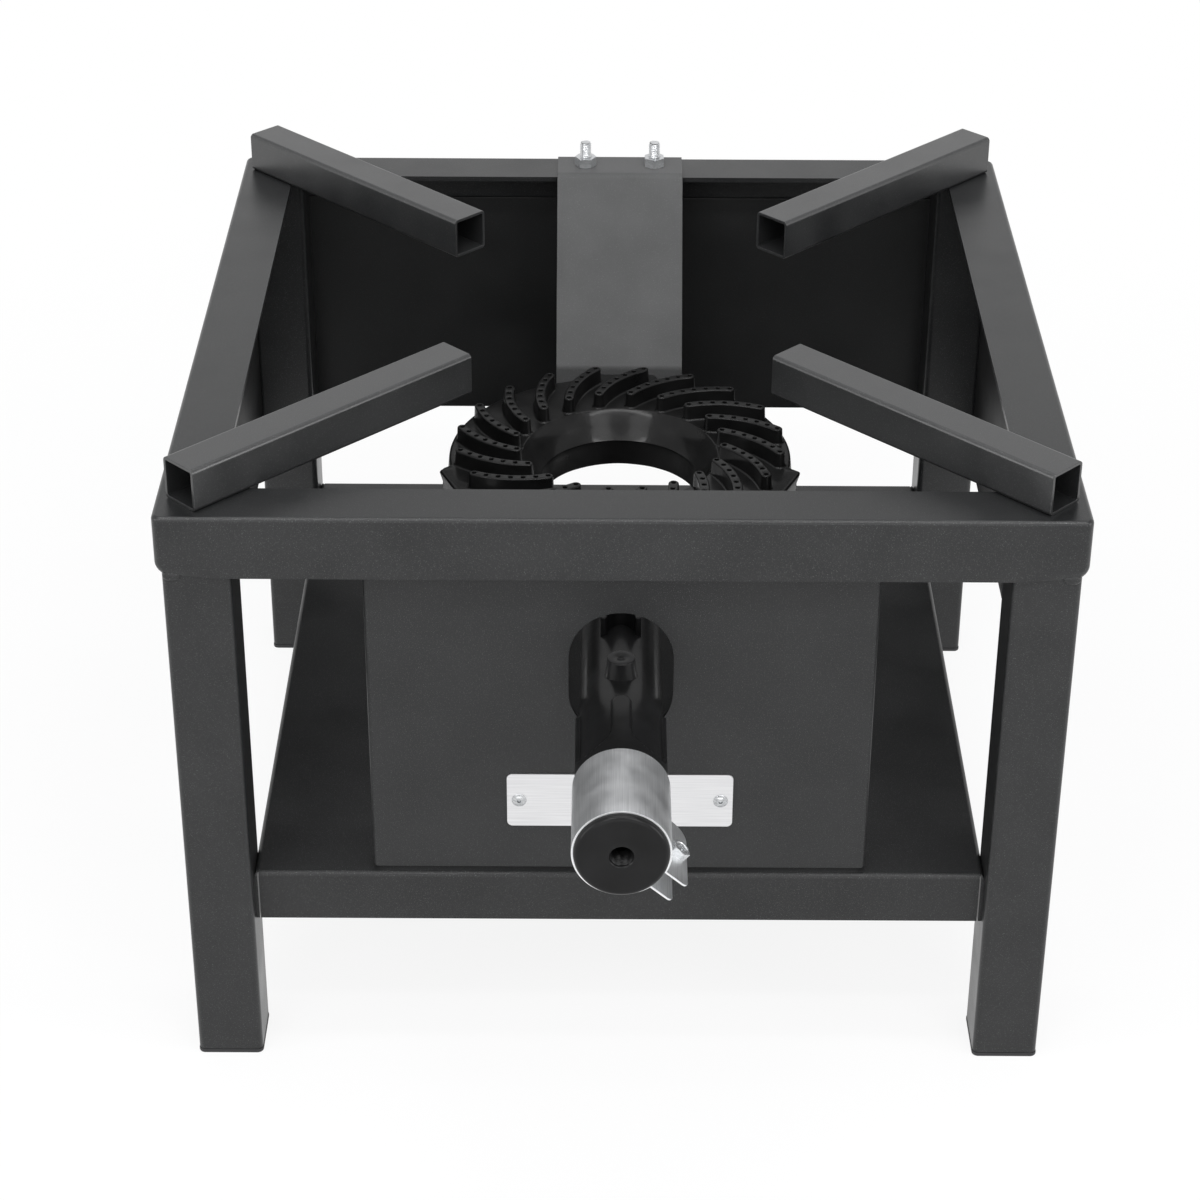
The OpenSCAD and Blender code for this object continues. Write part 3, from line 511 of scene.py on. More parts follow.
def buildSheets():
    s = sheetSizes
    for node, name, material in (("heat_shelf", "foldedShelf", shelfCoatWithPaintedShade),
                                 ("front_plate", "foldedFrontPlate", platePaint)):
        bm = cadCopy(node)
        breakEdges(bm, s["foldEdge"], 40)
        showPiece(bm, name, material, stands=(node,))
    for node, name in (("rear_shield", "rearShieldSheet"), ("side_shield_left", "leftShieldSheet"),
                       ("side_shield_right", "rightShieldSheet")):
        bm = cadCopy(node)
        closeShield(bm)
        breakEdges(bm, s["shieldEdge"], 40)
        showPiece(bm, name, shieldCoatWithPaintedShade, stands=(node,))
    bm = cadCopy("burner_bracket")
    breakEdges(bm, s["bracketEdge"], 40, 3)
    showPiece(bm, "stripBracket", bracketCoatWithPaintedLight, stands=("burner_bracket",))
    bm = cadCopy("nameplate")
    breakEdges(bm, s["plateEdge"], 40)
    showPiece(bm, "barePlate", bareAluminium, stands=("nameplate",))


buildSheets()
print("sheet parts made")


# The ring burner

burnerSizes = {
    "baseZ": 190 * mm, "deckZ": 216.5 * mm, "finTop": 224.5 * mm, "baseR": 86 * mm, "deckR": 84 * mm,
    "rimR": 47.7 * mm, "holeR": 39 * mm, "coneH": 13.5 * mm, "rimRound": 0.9 * mm, "edgeRound": 1.4 * mm,
    "lugAngles": (90, 203, 336.5), "lugReach": 88 * mm, "lugHalf": 19 * mm, "lugRound": 2.2 * mm,
    "fins": 20, "finPhase": 11.7, "finArc": 51.5 * mm, "finStart": 51.5 * mm, "finLead": 31.2,
    "finSweep": 40.5, "finW": 5 * mm, "finRound": 0.75 * mm, "draft": 0.35 * mm, "fillet": 0.9 * mm,
    "ports": 7, "portD": 2.3 * mm, "neckR": 18.2 * mm, "neckFrom": 60 * mm, "neckTo": 100 * mm,
    "ripple": 0.14 * mm, "rippleScale": 95, "finRipple": 0.07 * mm, "finRippleScale": 160, "steps": 360,
    "coneRound": 1.5 * mm, "coneDrop": 0.6 * mm, "rimLip": 2.2 * mm, "wallBand": 3 * mm, "deckBand": 2 * mm,
    "portEdge": 0.22 * mm, "sideBand": 0.7 * mm, "flareOut": 4 * mm, "flareLong": 9 * mm,
    "flareCurve": 2.2, "coneIn": 0.98, "neckEdge": 0.6 * mm,
    "neckEnd": ((0.2, 0.3), (0.8, 0.0)),  # mm in from the side, mm back from the end
}


def burnerRing():
    s = burnerSizes
    bm = bmesh.new()
    e, r = s["edgeRound"], s["rimRound"]
    line = [(s["holeR"], s["baseZ"])]
    line += [(x, s["baseZ"]) for x in stretch(s["holeR"] + s["wallBand"], s["baseR"] - e, 4)]
    line += arcPoints((s["baseR"] - e, s["baseZ"] + e), e, -70, 0, 4)
    line += [(s["baseR"] + (s["deckR"] - s["baseR"]) * k / 4,
              s["baseZ"] + (s["deckZ"] - s["baseZ"]) * k / 4) for k in (1, 2, 3)]
    line += arcPoints((s["deckR"] - e, s["deckZ"] - e), e, 5, 90, 5)
    line += [(x, s["deckZ"]) for x in stretch(s["deckR"] - e, s["rimR"] + s["rimLip"], 6)[1:]]
    line += arcPoints((s["rimR"] + r, s["deckZ"] - r), r, 80, 145, 4)
    line += [(s["holeR"] + (s["rimR"] - s["holeR"]) * k / 4 * s["coneIn"],
              s["deckZ"] - s["coneH"] * (1 - k / 4)) for k in (3, 2, 1)]
    coneLow = s["deckZ"] - s["coneH"]
    line += arcPoints((s["holeR"] - s["coneRound"], coneLow - s["coneDrop"]), s["coneRound"], 40, 0, 3)
    line += [(s["holeR"], z) for z in stretch(coneLow - s["wallBand"], s["baseZ"], 3)]
    points = [(x, burnerY, z) for x, z in line]
    spinLine(bm, points, (0, burnerY, 0), (0, 0, 1), s["steps"])
    # Lugs: the outer wall pushed out to a flat face over the width of each lug
    for v in bm.verts:
        x, y = v.co.x, v.co.y - burnerY
        radius = math.hypot(x, y)
        if radius < s["deckR"] - s["wallBand"]:
            continue
        for a in s["lugAngles"]:
            c, d = math.cos(math.radians(a)), math.sin(math.radians(a))
            out, across = x * c + y * d, -x * d + y * c
            if out > 0:
                push = soften((s["lugHalf"] + s["lugRound"] / 2 - abs(across)) / s["lugRound"])
                side = s["baseR"] if v.co.z < s["deckZ"] - s["deckBand"] else s["deckR"]
                inset = side - radius
                goal = s["lugReach"] - max(0.0, inset)
                if goal > out:
                    v.co.x += c * (goal - out) * push
                    v.co.y += d * (goal - out) * push
    ripple(bm, s["ripple"], s["rippleScale"])
    return bm


def finArcPlace(share):
    # The fin's arc: its middle, the turn at a share of its length and the place there
    s = burnerSizes
    lead = math.radians(s["finLead"])
    middle = Vector((s["finStart"] - s["finArc"] * math.sin(lead), -s["finArc"] * math.cos(lead), 0))
    angle = math.radians(90 - s["finLead"] - s["finSweep"] * share)
    return middle, angle, middle + s["finArc"] * Vector((math.cos(angle), math.sin(angle), 0))


def burnerFin(bm):
    s = burnerSizes
    half = s["finW"] / 2
    middle, angleFirst, first = finArcPlace(0)
    middle, angleLast, last = finArcPlace(1)
    turn = angleLast - angleFirst
    outline = []
    for radius in (s["finArc"] + half, s["finArc"] - half):
        start = bm.verts.new(middle + radius * Vector((math.cos(angleFirst), math.sin(angleFirst), 0)))
        made = sweep(bm, [start], middle, turn, 16)
        outline.append(start)
        outline.append(made["geom_last"][0])
    sweep(bm, [outline[0]], first, math.pi, 8)
    sweep(bm, [outline[3]], last, math.pi, 8)
    bmesh.ops.remove_doubles(bm, verts=bm.verts[:], dist=near)
    for i in range(s["ports"]):
        spot = finArcPlace(i / (s["ports"] - 1))[2]
        bmesh.ops.create_circle(bm, cap_ends=False, radius=s["portD"] / 2, segments=12,
                                matrix=Matrix.Translation(spot))
    bmesh.ops.triangle_fill(bm, edges=bm.edges[:], use_beauty=True, use_dissolve=False,
                            normal=(0, 0, 1))
    bmesh.ops.translate(bm, vec=(0, 0, s["deckZ"]), verts=bm.verts[:])
    raiseFaces(bm, s["finTop"] - s["deckZ"])
    floorFaces = [f for f in bm.faces if all(abs(v.co.z - s["deckZ"]) < near for v in f.verts)]
    bmesh.ops.delete(bm, geom=floorFaces, context="FACES")

    def portSide(e):
        return min((v.co.xy - finArcPlace(i / (s["ports"] - 1))[2].xy).length
                   for v in e.verts for i in range(s["ports"])) < s["portD"] * 0.6

    def topRims():
        return [e for e in bm.edges if all(abs(v.co.z - s["finTop"]) < near for v in e.verts)
                and e.is_manifold and e.calc_face_angle() > 1]

    roundEdges(bm, [e for e in topRims() if not portSide(e)], s["finRound"], 3)
    roundEdges(bm, topRims(), s["portEdge"], 1)
    for share in (1, 0.5, 0.2):
        cutAcross(bm, (0, 0, s["deckZ"] + share * s["fillet"]), (0, 0, 1), near / 2)
    # Draft on the sides, and a fillet where they meet the deck
    for v in bm.verts:
        flat = v.co.xy - middle.xy
        angle = math.atan2(flat.y, flat.x)
        angle = min(angleFirst, max(angleLast, angle))
        away = flat - s["finArc"] * Vector((math.cos(angle), math.sin(angle)))
        if away.length > half - s["sideBand"]:
            share = (s["finTop"] - v.co.z) / (s["finTop"] - s["deckZ"])
            foot = max(0.0, 1 - (v.co.z - s["deckZ"]) / s["fillet"])
            out = s["draft"] * share + s["fillet"] * foot * foot
            v.co.xy += away.normalized() * out
    bmesh.ops.translate(bm, vec=(0, burnerY, 0), verts=bm.verts[:])


def burnerFins():
    s = burnerSizes
    bm = bmesh.new()
    burnerFin(bm)
    axisPlace = (0, burnerY, 0)
    bmesh.ops.rotate(bm, cent=axisPlace, matrix=Matrix.Rotation(math.radians(s["finPhase"]), 3, "Z"),
                     verts=bm.verts[:])
    sweep(bm, bm.verts[:] + bm.edges[:] + bm.faces[:], axisPlace, math.tau * (s["fins"] - 1) / s["fins"],
          s["fins"] - 1, copies=True)
    ripple(bm, s["finRipple"], s["finRippleScale"])
    return bm


def burnerNeck():
    s = burnerSizes
    bm = bmesh.new()
    line = []
    for reach in stretch(s["neckFrom"], s["neckTo"] - s["neckEdge"], 24):
        flare = max(0.0, 1 - (reach - s["baseR"] + s["wallBand"]) / s["flareLong"])
        line.append((s["neckR"] + s["flareOut"] * min(1.0, flare) ** s["flareCurve"], reach))
    line += [(s["neckR"] - side * mm, s["neckTo"] - back * mm) for side, back in s["neckEnd"]]
    spinLine(bm, [(0, burnerY - y, tubeZ + r) for r, y in line], (0, 0, tubeZ), (0, 1, 0), 96)
    ripple(bm, s["ripple"], s["rippleScale"])
    return bm


def buildBurner():
    showPiece(burnerRing(), "burnerRing", burnerIron, stands=("burner_head",), sharp=60,
              weighted=False)
    showPiece(burnerFins(), "burnerFins", burnerIron, stands=("burner_head",), sharp=50)
    showPiece(burnerNeck(), "burnerNeck", burnerIron, stands=("burner_head",), sharp=60,
              weighted=False)


buildBurner()
print("burner made")


# The mixing tube, drawn by its distance in front of the burner's axis

tubeSizes = {
    "from": 100 * mm, "headBack": 250 * mm, "front": 305.6 * mm, "tubeR": 18.2 * mm, "headR": 19.9 * mm,
    "edge": 2.5 * mm, "chamberR": 15.5 * mm, "inletDeep": 12 * mm, "inletR": 4.45 * mm,
    "mouthR": 5.2 * mm, "pitch": 1 * mm, "threadDeep": 0.55 * mm, "windowFrom": 261 * mm,
    "windowTo": 291 * mm, "windowTurn": 25.2, "steps": 200, "ribHalf": 4.5 * mm, "ribFlare": 12 * mm,
    "ribTop": 38 * mm, "ribSide": 47 * mm, "ribSoft": 1.1 * mm, "ripple": 0.1 * mm, "rippleScale": 80,
    "boreR": 14 * mm, "throatR": 11 * mm, "throatFrom": 205 * mm, "throatTo": 220 * mm,
    "chamberFrom": 240 * mm, "smallRipple": 0.08 * mm, "smallRippleScale": 200, "ribSpare": 3 * mm,
    "endEdge": 0.7 * mm, "stepFrom": 1 * mm, "stepTo": 2 * mm, "mouthEdge": 0.3 * mm,
    "mouthSoft": 0.08 * mm, "threadFrom": 0.8 * mm, "threadEnd": 0.5 * mm, "threadFade": 2 * mm,
    "end": ((0.8, 0.0), (0.2, 0.25)),  # mm in from the side, mm on from the end
}
bossSizes = {
    "reach": 192 * mm, "r": 6.35 * mm, "top": 217 * mm, "deep": 12 * mm, "topRound": 0.5 * mm,
    "footOut": 1 * mm, "taper": 0.3 * mm, "taperTop": 0.25 * mm, "roundFrom": 0.1 * mm, "land": 2 * mm,
    "foot": ((1.0, -2.0), (0.6, -0.4), (0.35, 1.2), (0.2, 3.0)),  # mm out of the side, mm above the tube
    "dimple": ((1.5, -0.05), (1.1, -0.45), (0.0, -0.7)),  # mm from the middle, mm below the top
}
cupSizes = {"reach": 157 * mm, "r": 8 * mm, "wall": 2.5 * mm, "sunk": 6 * mm, "flareShare": 0.16,
            "flareLong": 4 * mm, "ends": 1.2 * mm, "endBand": 0.2 * mm, "softEdge": 0.55 * mm}


def ribHeight(angle, behind):
    # behind: distance from the head back towards the burner. angle: 0 to the right, 90 on top
    s = tubeSizes
    if behind <= 0:
        return 1.0
    best = 0.0
    for at in (0, 90, 180, 270):
        length = s["ribTop"] if at == 90 else s["ribSide"]
        off = abs((angle - at + 180) % 360 - 180)
        if off > 45:
            continue
        across = s["headR"] * math.sin(math.radians(off))
        half = s["ribHalf"]
        if behind < s["ribFlare"]:
            half += s["ribFlare"] - math.sqrt(s["ribFlare"] ** 2 - (s["ribFlare"] - behind) ** 2)
        over = behind - (length - s["ribHalf"])
        gap = half - across
        if over > 0:
            gap = s["ribHalf"] - math.hypot(over, across)
        best = max(best, soften(gap / s["ribSoft"] + 0.5))
    return max(best, soften(0.5 - behind / s["ribSoft"]))


def tubeBody():
    s = tubeSizes
    bm = bmesh.new()
    ringEnd = s["headBack"] - s["ribSide"] - s["ribSpare"]
    line = [(s["tubeR"] - side * mm, s["from"] + on * mm) for side, on in s["end"]]
    line += [(s["tubeR"], y) for y in stretch(s["from"] + s["endEdge"], ringEnd, 24)]
    line += [(s["tubeR"], y) for y in stretch(ringEnd, s["headBack"] + s["stepFrom"], 68)[1:]]
    line += [(s["headR"], y) for y in stretch(s["headBack"] + s["stepTo"], s["windowFrom"], 5)]
    line += [(s["headR"], y) for y in stretch(s["windowFrom"], s["windowTo"], 12)[1:]]
    line += [(s["headR"], y) for y in stretch(s["windowTo"], s["front"] - s["edge"], 4)[1:]]
    line += arcPoints((s["headR"] - s["edge"], s["front"] - s["edge"]), s["edge"], 0, 90, 6)[1:]
    line += [(r, s["front"]) for r in stretch(s["headR"] - s["edge"], s["mouthR"] + s["mouthEdge"], 5)[1:]]
    line += [(s["mouthR"] + s["mouthSoft"], s["front"] - s["mouthSoft"])]
    deep = s["front"] - s["inletDeep"]
    line += [(s["inletR"], y) for y in stretch(s["front"] - s["threadFrom"], deep + s["threadEnd"], 66)]
    line += [(s["inletR"] + s["mouthEdge"], deep), (s["chamberR"], deep)]
    line += [(s["chamberR"], y) for y in stretch(s["windowTo"], s["windowFrom"], 12)]
    line += [(s["chamberR"], s["chamberFrom"]), (s["throatR"], s["throatTo"])]
    line += [(s["throatR"], s["throatFrom"]), (s["boreR"], s["from"] + mm), (s["boreR"], s["from"]), line[0]]
    spinLine(bm, [(0, burnerY - y, tubeZ + r) for r, y in line], (0, 0, tubeZ), (0, 1, 0), s["steps"])
    step = s["headBack"] + (s["stepFrom"] + s["stepTo"]) / 2
    for v in bm.verts:
        reach = burnerY - v.co.y
        x, z = v.co.x, v.co.z - tubeZ
        radius = math.hypot(x, z)
        angle = math.degrees(math.atan2(z, x)) % 360
        if radius > s["tubeR"] - near and reach < step:
            goal = s["tubeR"] + (s["headR"] - s["tubeR"]) * ribHeight(angle, s["headBack"] - reach)
        elif abs(radius - s["inletR"]) < near:
            phase = (reach / s["pitch"] + angle / 360) % 1
            fade = soften((s["front"] - reach) / s["threadFade"])
            goal = s["inletR"] + s["threadDeep"] * (1 - fade) + fade * s["threadDeep"] * abs(2 * phase - 1)
        else:
            continue
        v.co.x *= goal / radius
        v.co.z = tubeZ + z * goal / radius
    cutWindows(bm)
    ripple(bm, s["ripple"], s["rippleScale"])
    # The shutter slides over the head and the ribs, so nothing stands out past them
    for v in bm.verts:
        radius = math.hypot(v.co.x, v.co.z - tubeZ)
        if radius > s["headR"]:
            v.co.x *= s["headR"] / radius
            v.co.z = tubeZ + (v.co.z - tubeZ) * s["headR"] / radius
    return bm


def cutWindows(bm):
    # Faces inside each window go from both walls, and the two openings are bridged
    s = tubeSizes

    def inWindow(face, quarter):
        spot = face.calc_center_median()
        reach = burnerY - spot.y
        angle = math.degrees(math.atan2(spot.z - tubeZ, spot.x)) % 360
        return (s["windowFrom"] < reach < s["windowTo"] and abs(angle - quarter) < s["windowTurn"]
                and math.hypot(spot.x, spot.z - tubeZ) > s["chamberR"] - mm)

    for quarter in (45, 135, 225, 315):
        gone = [f for f in bm.faces if inWindow(f, quarter)]
        bmesh.ops.delete(bm, geom=gone, context="FACES")
        rims = [e for e in bm.edges if e.is_boundary]
        bmesh.ops.bridge_loops(bm, edges=rims)


def tubeBoss():
    s = bossSizes
    bm = bmesh.new()
    top, r, e = s["top"], s["r"], s["topRound"]
    tubeTop = tubeZ + tubeSizes["tubeR"]
    line = [(r + s["footOut"], top - s["deep"])]
    line += [(r + out * mm, tubeTop + up * mm) for out, up in s["foot"]]
    line += [(r - s["taper"], top - e - s["roundFrom"])]
    line += arcPoints((r - s["taperTop"] - e, top - e), e, 10, 85, 5)
    line += [(r - s["land"], top)]
    line += [(out * mm, top + up * mm) for out, up in s["dimple"]]
    spinLine(bm, [(x, burnerY - s["reach"], z) for x, z in line],
             (0, burnerY - s["reach"], 0), (0, 0, 1), 48)
    ends = [e for e in bm.edges if e.is_boundary]
    bmesh.ops.holes_fill(bm, edges=ends, sides=0)
    ripple(bm, tubeSizes["smallRipple"], tubeSizes["smallRippleScale"])
    return bm


def tubeCup():
    # The half-round lug: an open half ring with flared ends, its hollow facing the front
    s = cupSizes
    bm = bmesh.new()
    low, top = tubeZ + tubeSizes["tubeR"] - s["sunk"], bossSizes["top"]
    middle = Vector((0, burnerY - s["reach"], 0))
    start = [bm.verts.new(middle + Vector((r, 0, low))) for r in (s["r"] - s["wall"], s["r"])]
    edge = bm.edges.new(start)
    sweep(bm, start + [edge], middle, math.pi, 24)
    for v in bm.verts:
        ahead = (v.co - middle).y
        v.co.x *= 1 + s["flareShare"] * soften(1 - ahead / s["flareLong"])
        if ahead < s["endBand"]:
            v.co.y -= s["ends"]
    raiseFaces(bm, top - low)
    bmesh.ops.recalc_face_normals(bm, faces=bm.faces[:])
    breakEdges(bm, s["softEdge"], 50, 3)
    ripple(bm, tubeSizes["smallRipple"], tubeSizes["smallRippleScale"])
    return bm


def buildTube():
    showPiece(tubeBody(), "mixingTubeBody", tubeIron, stands=("mixing_tube",), sharp=50,
              weighted=False)
    showPiece(tubeBoss(), "tubeBoss", tubeIron, stands=("mixing_tube",), sharp=60,
              weighted=False)
    showPiece(tubeCup(), "tubeCup", tubeIron, stands=("mixing_tube",), sharp=60)


buildTube()
print("mixing tube made")


# The air shutter

shutterSizes = {"rear": 302.6 * mm, "turn": 41, "screwOut": 26.5 * mm, "screwAlong": 20 * mm,
                "earFace": 5.2 * mm, "softEdge": 0.14 * mm}


def onShutter():
    # The screw's place on the upper ear, with +Z along the screw
    s = shutterSizes
    return (Matrix.Translation((0, burnerY - s["rear"], tubeZ))
            @ Matrix.Rotation(math.radians(s["turn"]), 4, "Y")
            @ Matrix.Translation((s["screwOut"], s["screwAlong"], 0)))


def buildSleeve():
    bm = cadCopy("air_shutter")
    breakEdges(bm, shutterSizes["softEdge"], 50)
    showPiece(bm, "rolledSleeve", shutterSteel, "shutter", ("air_shutter",))


# Screws, nuts, washers and rivets, each drawn along +Z

def hexRadius(angle, flats):
    return flats / 2 / math.cos((angle + math.pi / 6) % (math.pi / 3) - math.pi / 6)


hexShares = {"fall": 0.341, "face": 0.48, "dish": 0.40, "dishFloor": 0.36, "dishSide": 0.8}
hexSizes = {"boreFlare": 0.35 * mm, "boreEdge": 0.3 * mm}


def turnedHex(bm, flats, low, high, bore, roundLow, roundHigh, dish=0.0):
    s, shares = hexSizes, hexShares
    corner = flats / math.sqrt(3)
    face = flats * shares["face"]
    fall = (corner - flats / 2) * shares["fall"]
    line = [(bore, low)]
    if roundLow:
        line += [(face, low)] + [(face + (corner - face) * k / 4, low + fall * k / 4) for k in (1, 2, 3, 4)]
    else:
        line += [(corner, low)]
    line += [(corner, low + (high - low) / 2)]
    if roundHigh:
        line += [(face + (corner - face) * k / 4, high - fall * k / 4) for k in (4, 3, 2, 1)] + [(face, high)]
    else:
        line += [(corner, high)]
    if bore:
        line += [(bore + s["boreFlare"], high), (bore, high - s["boreEdge"])]
        line += [(bore, low + s["boreEdge"]), (bore, low)]
    elif dish:
        flat = flats * shares["dishFloor"]
        line += [(flats * shares["dish"], high), (flat, high - dish * shares["dishSide"])]
        line += [(flat * k / 12, high - dish) for k in range(11, 0, -1)] + [(0, high - dish)]
    else:
        line += [(0, high)]
    spinLine(bm, [(r, 0, z) for r, z in line], (0, 0, 0), (0, 0, 1), 72)
    for v in bm.verts:
        radius = math.hypot(v.co.x, v.co.y)
        limit = hexRadius(math.atan2(v.co.y, v.co.x), flats)
        if radius > limit:
            v.co.x *= limit / radius
            v.co.y *= limit / radius


threadShapes = {"rows": 7, "endEdge": 0.5 * mm, "crest": 0.1 * mm, "deepShare": 0.55, "endShare": 0.35,
                "steps": 32}


def threadedRod(bm, radius, pitch, low, high):
    s = threadShapes
    rows = int((high - low) / pitch * s["rows"])
    line = [(0, low), (radius - s["endEdge"], low)] + [(radius, z) for z in stretch(low, high, rows)]
    line += [(radius - s["endEdge"], high), (0, high)]
    before = set(bm.verts)
    spinLine(bm, [(r, 0, z) for r, z in line], (0, 0, 0), (0, 0, 1), s["steps"])
    for v in bm.verts:
        if v in before:
            continue
        r = math.hypot(v.co.x, v.co.y)
        if r > radius - s["crest"]:
            phase = (v.co.z / pitch + math.atan2(v.co.y, v.co.x) / math.tau) % 1
            end = min(v.co.z - low, high - v.co.z) / pitch
            cut = s["deepShare"] * pitch * (1 - abs(2 * phase - 1)) + s["endShare"] * pitch * soften(1 - end)
            v.co.x *= (radius - cut) / r
            v.co.y *= (radius - cut) / r


def putAt(bm, place):
    bmesh.ops.transform(bm, matrix=place, verts=bm.verts[:])


def joinInto(target, part):
    mesh = bpy.data.meshes.new("part")
    part.to_mesh(mesh)
    part.free()
    target.from_mesh(mesh)
    bpy.data.meshes.remove(mesh)


boltSizes = {
    "flats": 10 * mm, "bolt": 3 * mm, "pitch": 1 * mm, "spacing": 36.4 * mm, "y": burnerY + 182.5 * mm,
    "shankLow": 285.9 * mm, "shankTop": 305.9 * mm, "head": 4 * mm, "nutLow": 293 * mm, "nutTop": 298 * mm,
    "leftTurn": 30, "rightTurn": 2, "washerR": 6 * mm, "washerHoleR": 3.3 * mm, "washerT": 1.6 * mm,
    "burnerBoltY": burnerY + 80.5 * mm, "burnerBoltLow": 185.4 * mm, "burnerBoltTop": 199.4 * mm,
    "inHead": 0.5 * mm, "nutBite": 0.2 * mm, "washerEdge": 0.2 * mm,
}
clampSizes = {"flats": 8 * mm, "bolt": 2.5 * mm, "pitch": 0.8 * mm, "head": 3.25 * mm, "length": 15 * mm,
              "nut": 3.2 * mm, "slotW": 0.55 * mm, "slotL": 2.1 * mm, "slotDeep": 0.9 * mm,
              "dish": 0.4 * mm, "crossBand": 0.45 * mm, "inHead": 0.5 * mm, "nutBite": 0.1 * mm,
              "turn": 12}


def buildBolts():
    s = boltSizes
    bolts, nuts, washers = bmesh.new(), bmesh.new(), bmesh.new()
    for side, turn in ((-1, s["leftTurn"]), (1, s["rightTurn"])):
        spot = (Matrix.Translation((side * s["spacing"] / 2, s["y"], 0))
                @ Matrix.Rotation(math.radians(turn), 4, "Z"))
        one = bmesh.new()
        turnedHex(one, s["flats"], s["shankLow"] - s["head"], s["shankLow"], 0, True, False)
        threadedRod(one, s["bolt"], s["pitch"], s["shankLow"] - s["inHead"], s["shankTop"])
        putAt(one, spot)
        joinInto(bolts, one)
        one = bmesh.new()
        turnedHex(one, s["flats"], s["nutLow"], s["nutTop"], s["bolt"] - s["nutBite"], True, True)
        putAt(one, spot)
        joinInto(nuts, one)
        one = washerMesh(s["shankLow"])
        putAt(one, spot)
        joinInto(washers, one)
    for bm, kind in ((bolts, "Bolts"), (nuts, "Nuts"), (washers, "Washers")):
        showPiece(bm, "bracket" + kind, zincPlate, stands=("bracket_" + kind.lower(),), sharp=40)
    bolt = bmesh.new()
    turnedHex(bolt, s["flats"], s["burnerBoltLow"] - s["head"], s["burnerBoltLow"], 0, True, False)
    threadedRod(bolt, s["bolt"], s["pitch"], s["burnerBoltLow"] - s["inHead"], s["burnerBoltTop"])
    putAt(bolt, Matrix.Translation((0, s["burnerBoltY"], 0)))
    showPiece(bolt, "burnerBolt", zincPlate, stands=("burner_bolt",), sharp=40)
    washer = washerMesh(s["burnerBoltLow"])
    putAt(washer, Matrix.Translation((0, s["burnerBoltY"], 0)))
    showPiece(washer, "burnerWasher", zincPlate, stands=("burner_washer",), sharp=40)


def washerMesh(low):
    s = boltSizes
    bm = bmesh.new()
    r, h, t, e = s["washerR"], s["washerHoleR"], s["washerT"], s["washerEdge"]
    line = [(h, low), (r - e, low), (r, low + e), (r, low + t - e), (r - e, low + t), (h, low + t), (h, low)]
    spinLine(bm, [(x, 0, z) for x, z in line], (0, 0, 0), (0, 0, 1), 48)
    return bm


def buildClamp():
    s, face = clampSizes, shutterSizes["earFace"]
    screw = bmesh.new()
    turnedHex(screw, s["flats"], face, face + s["head"], 0, False, True, dish=s["dish"])
    for v in screw.verts:  # the cross recess in the head's dish
        a, b = sorted((abs(v.co.x), abs(v.co.y)))
        if v.co.z > face + s["head"] - s["crossBand"] and a < s["slotW"] and b < s["slotL"]:
            v.co.z -= s["slotDeep"]
    threadedRod(screw, s["bolt"], s["pitch"], face - s["length"], face + s["inHead"])
    putAt(screw, onShutter() @ Matrix.Rotation(math.radians(s["turn"]), 4, "Z"))
    showPiece(screw, "clampScrew", zincPlate, "clamp_screw", ("shutter_screw",), sharp=40)
    nut = bmesh.new()
    turnedHex(nut, s["flats"], -face - s["nut"], -face, s["bolt"] - s["nutBite"], True, True)
    putAt(nut, onShutter())
    showPiece(nut, "clampNut", zincPlate, "shutter", ("shutter_nut",), sharp=40)


rivetSizes = {"spacing": 91 * mm, "z": 138.4 * mm, "plateFace": burnerY - 187 * mm, "plateT": 0.8 * mm,
              "headR": 3.4 * mm, "headH": 1.2 * mm, "bulgeR": 2.4 * mm, "bulge": 5 * mm,
              "bulgeTop": 1.9 * mm, "bodyR": 1.6 * mm, "bodyLow": 1.5 * mm, "mandrelR": 0.9 * mm,
              "holeDeep": 0.5 * mm, "tipR": 0.75 * mm, "bulgeIn": 0.4 * mm, "bulgeUp": 0.5 * mm,
              "rimIn": 0.1 * mm, "rimUp": 0.12 * mm, "domeFrom": 0.94, "domeTo": 0.34,
              "holeOut": 0.05 * mm, "holeTop": 0.2 * mm, "tipDeep": 0.1 * mm}


def rivetLine():
    # The outline of a blind rivet, from the middle of its bulge round to the mandrel's broken end
    s = rivetSizes
    low, top = s["plateT"], s["plateT"] + s["headH"]
    ball = (s["headR"] ** 2 + s["headH"] ** 2) / (2 * s["headH"])
    line = [(0, -s["bulge"]), (s["mandrelR"], -s["bulge"]), (s["bulgeR"] - s["bulgeIn"], -s["bulge"]),
            (s["bulgeR"], -s["bulge"] + s["bulgeUp"]), (s["bulgeR"], -s["bulgeTop"]),
            (s["bodyR"], -s["bodyLow"]), (s["bodyR"], low),
            (s["headR"] - s["rimIn"], low), (s["headR"], low + s["rimUp"])]
    for share in stretch(s["domeFrom"], s["domeTo"], 7):
        x = s["headR"] * share
        line.append((x, top - ball + math.sqrt(ball * ball - x * x)))
    line += [(s["mandrelR"] + s["holeOut"], top - s["holeTop"]), (s["mandrelR"], top - s["holeDeep"]),
             (s["tipR"], low), (0.0, low - s["tipDeep"])]
    return line


def buildRivets():
    s = rivetSizes
    bm = bmesh.new()
    for side in (-1, 1):
        one = bmesh.new()
        spinLine(one, [(x, 0, z) for x, z in rivetLine()], (0, 0, 0), (0, 0, 1), 40)
        putAt(one, Matrix.Translation((side * s["spacing"] / 2, s["plateFace"], s["z"]))
              @ Matrix.Rotation(math.radians(90), 4, "X"))
        joinInto(bm, one)
    showPiece(bm, "blindRivets", rivetAluminium, stands=("nameplate_rivets",), sharp=40)


buildSleeve()
buildBolts()
buildClamp()
buildRivets()
print("shutter and fasteners made")


# Floor, lights and camera

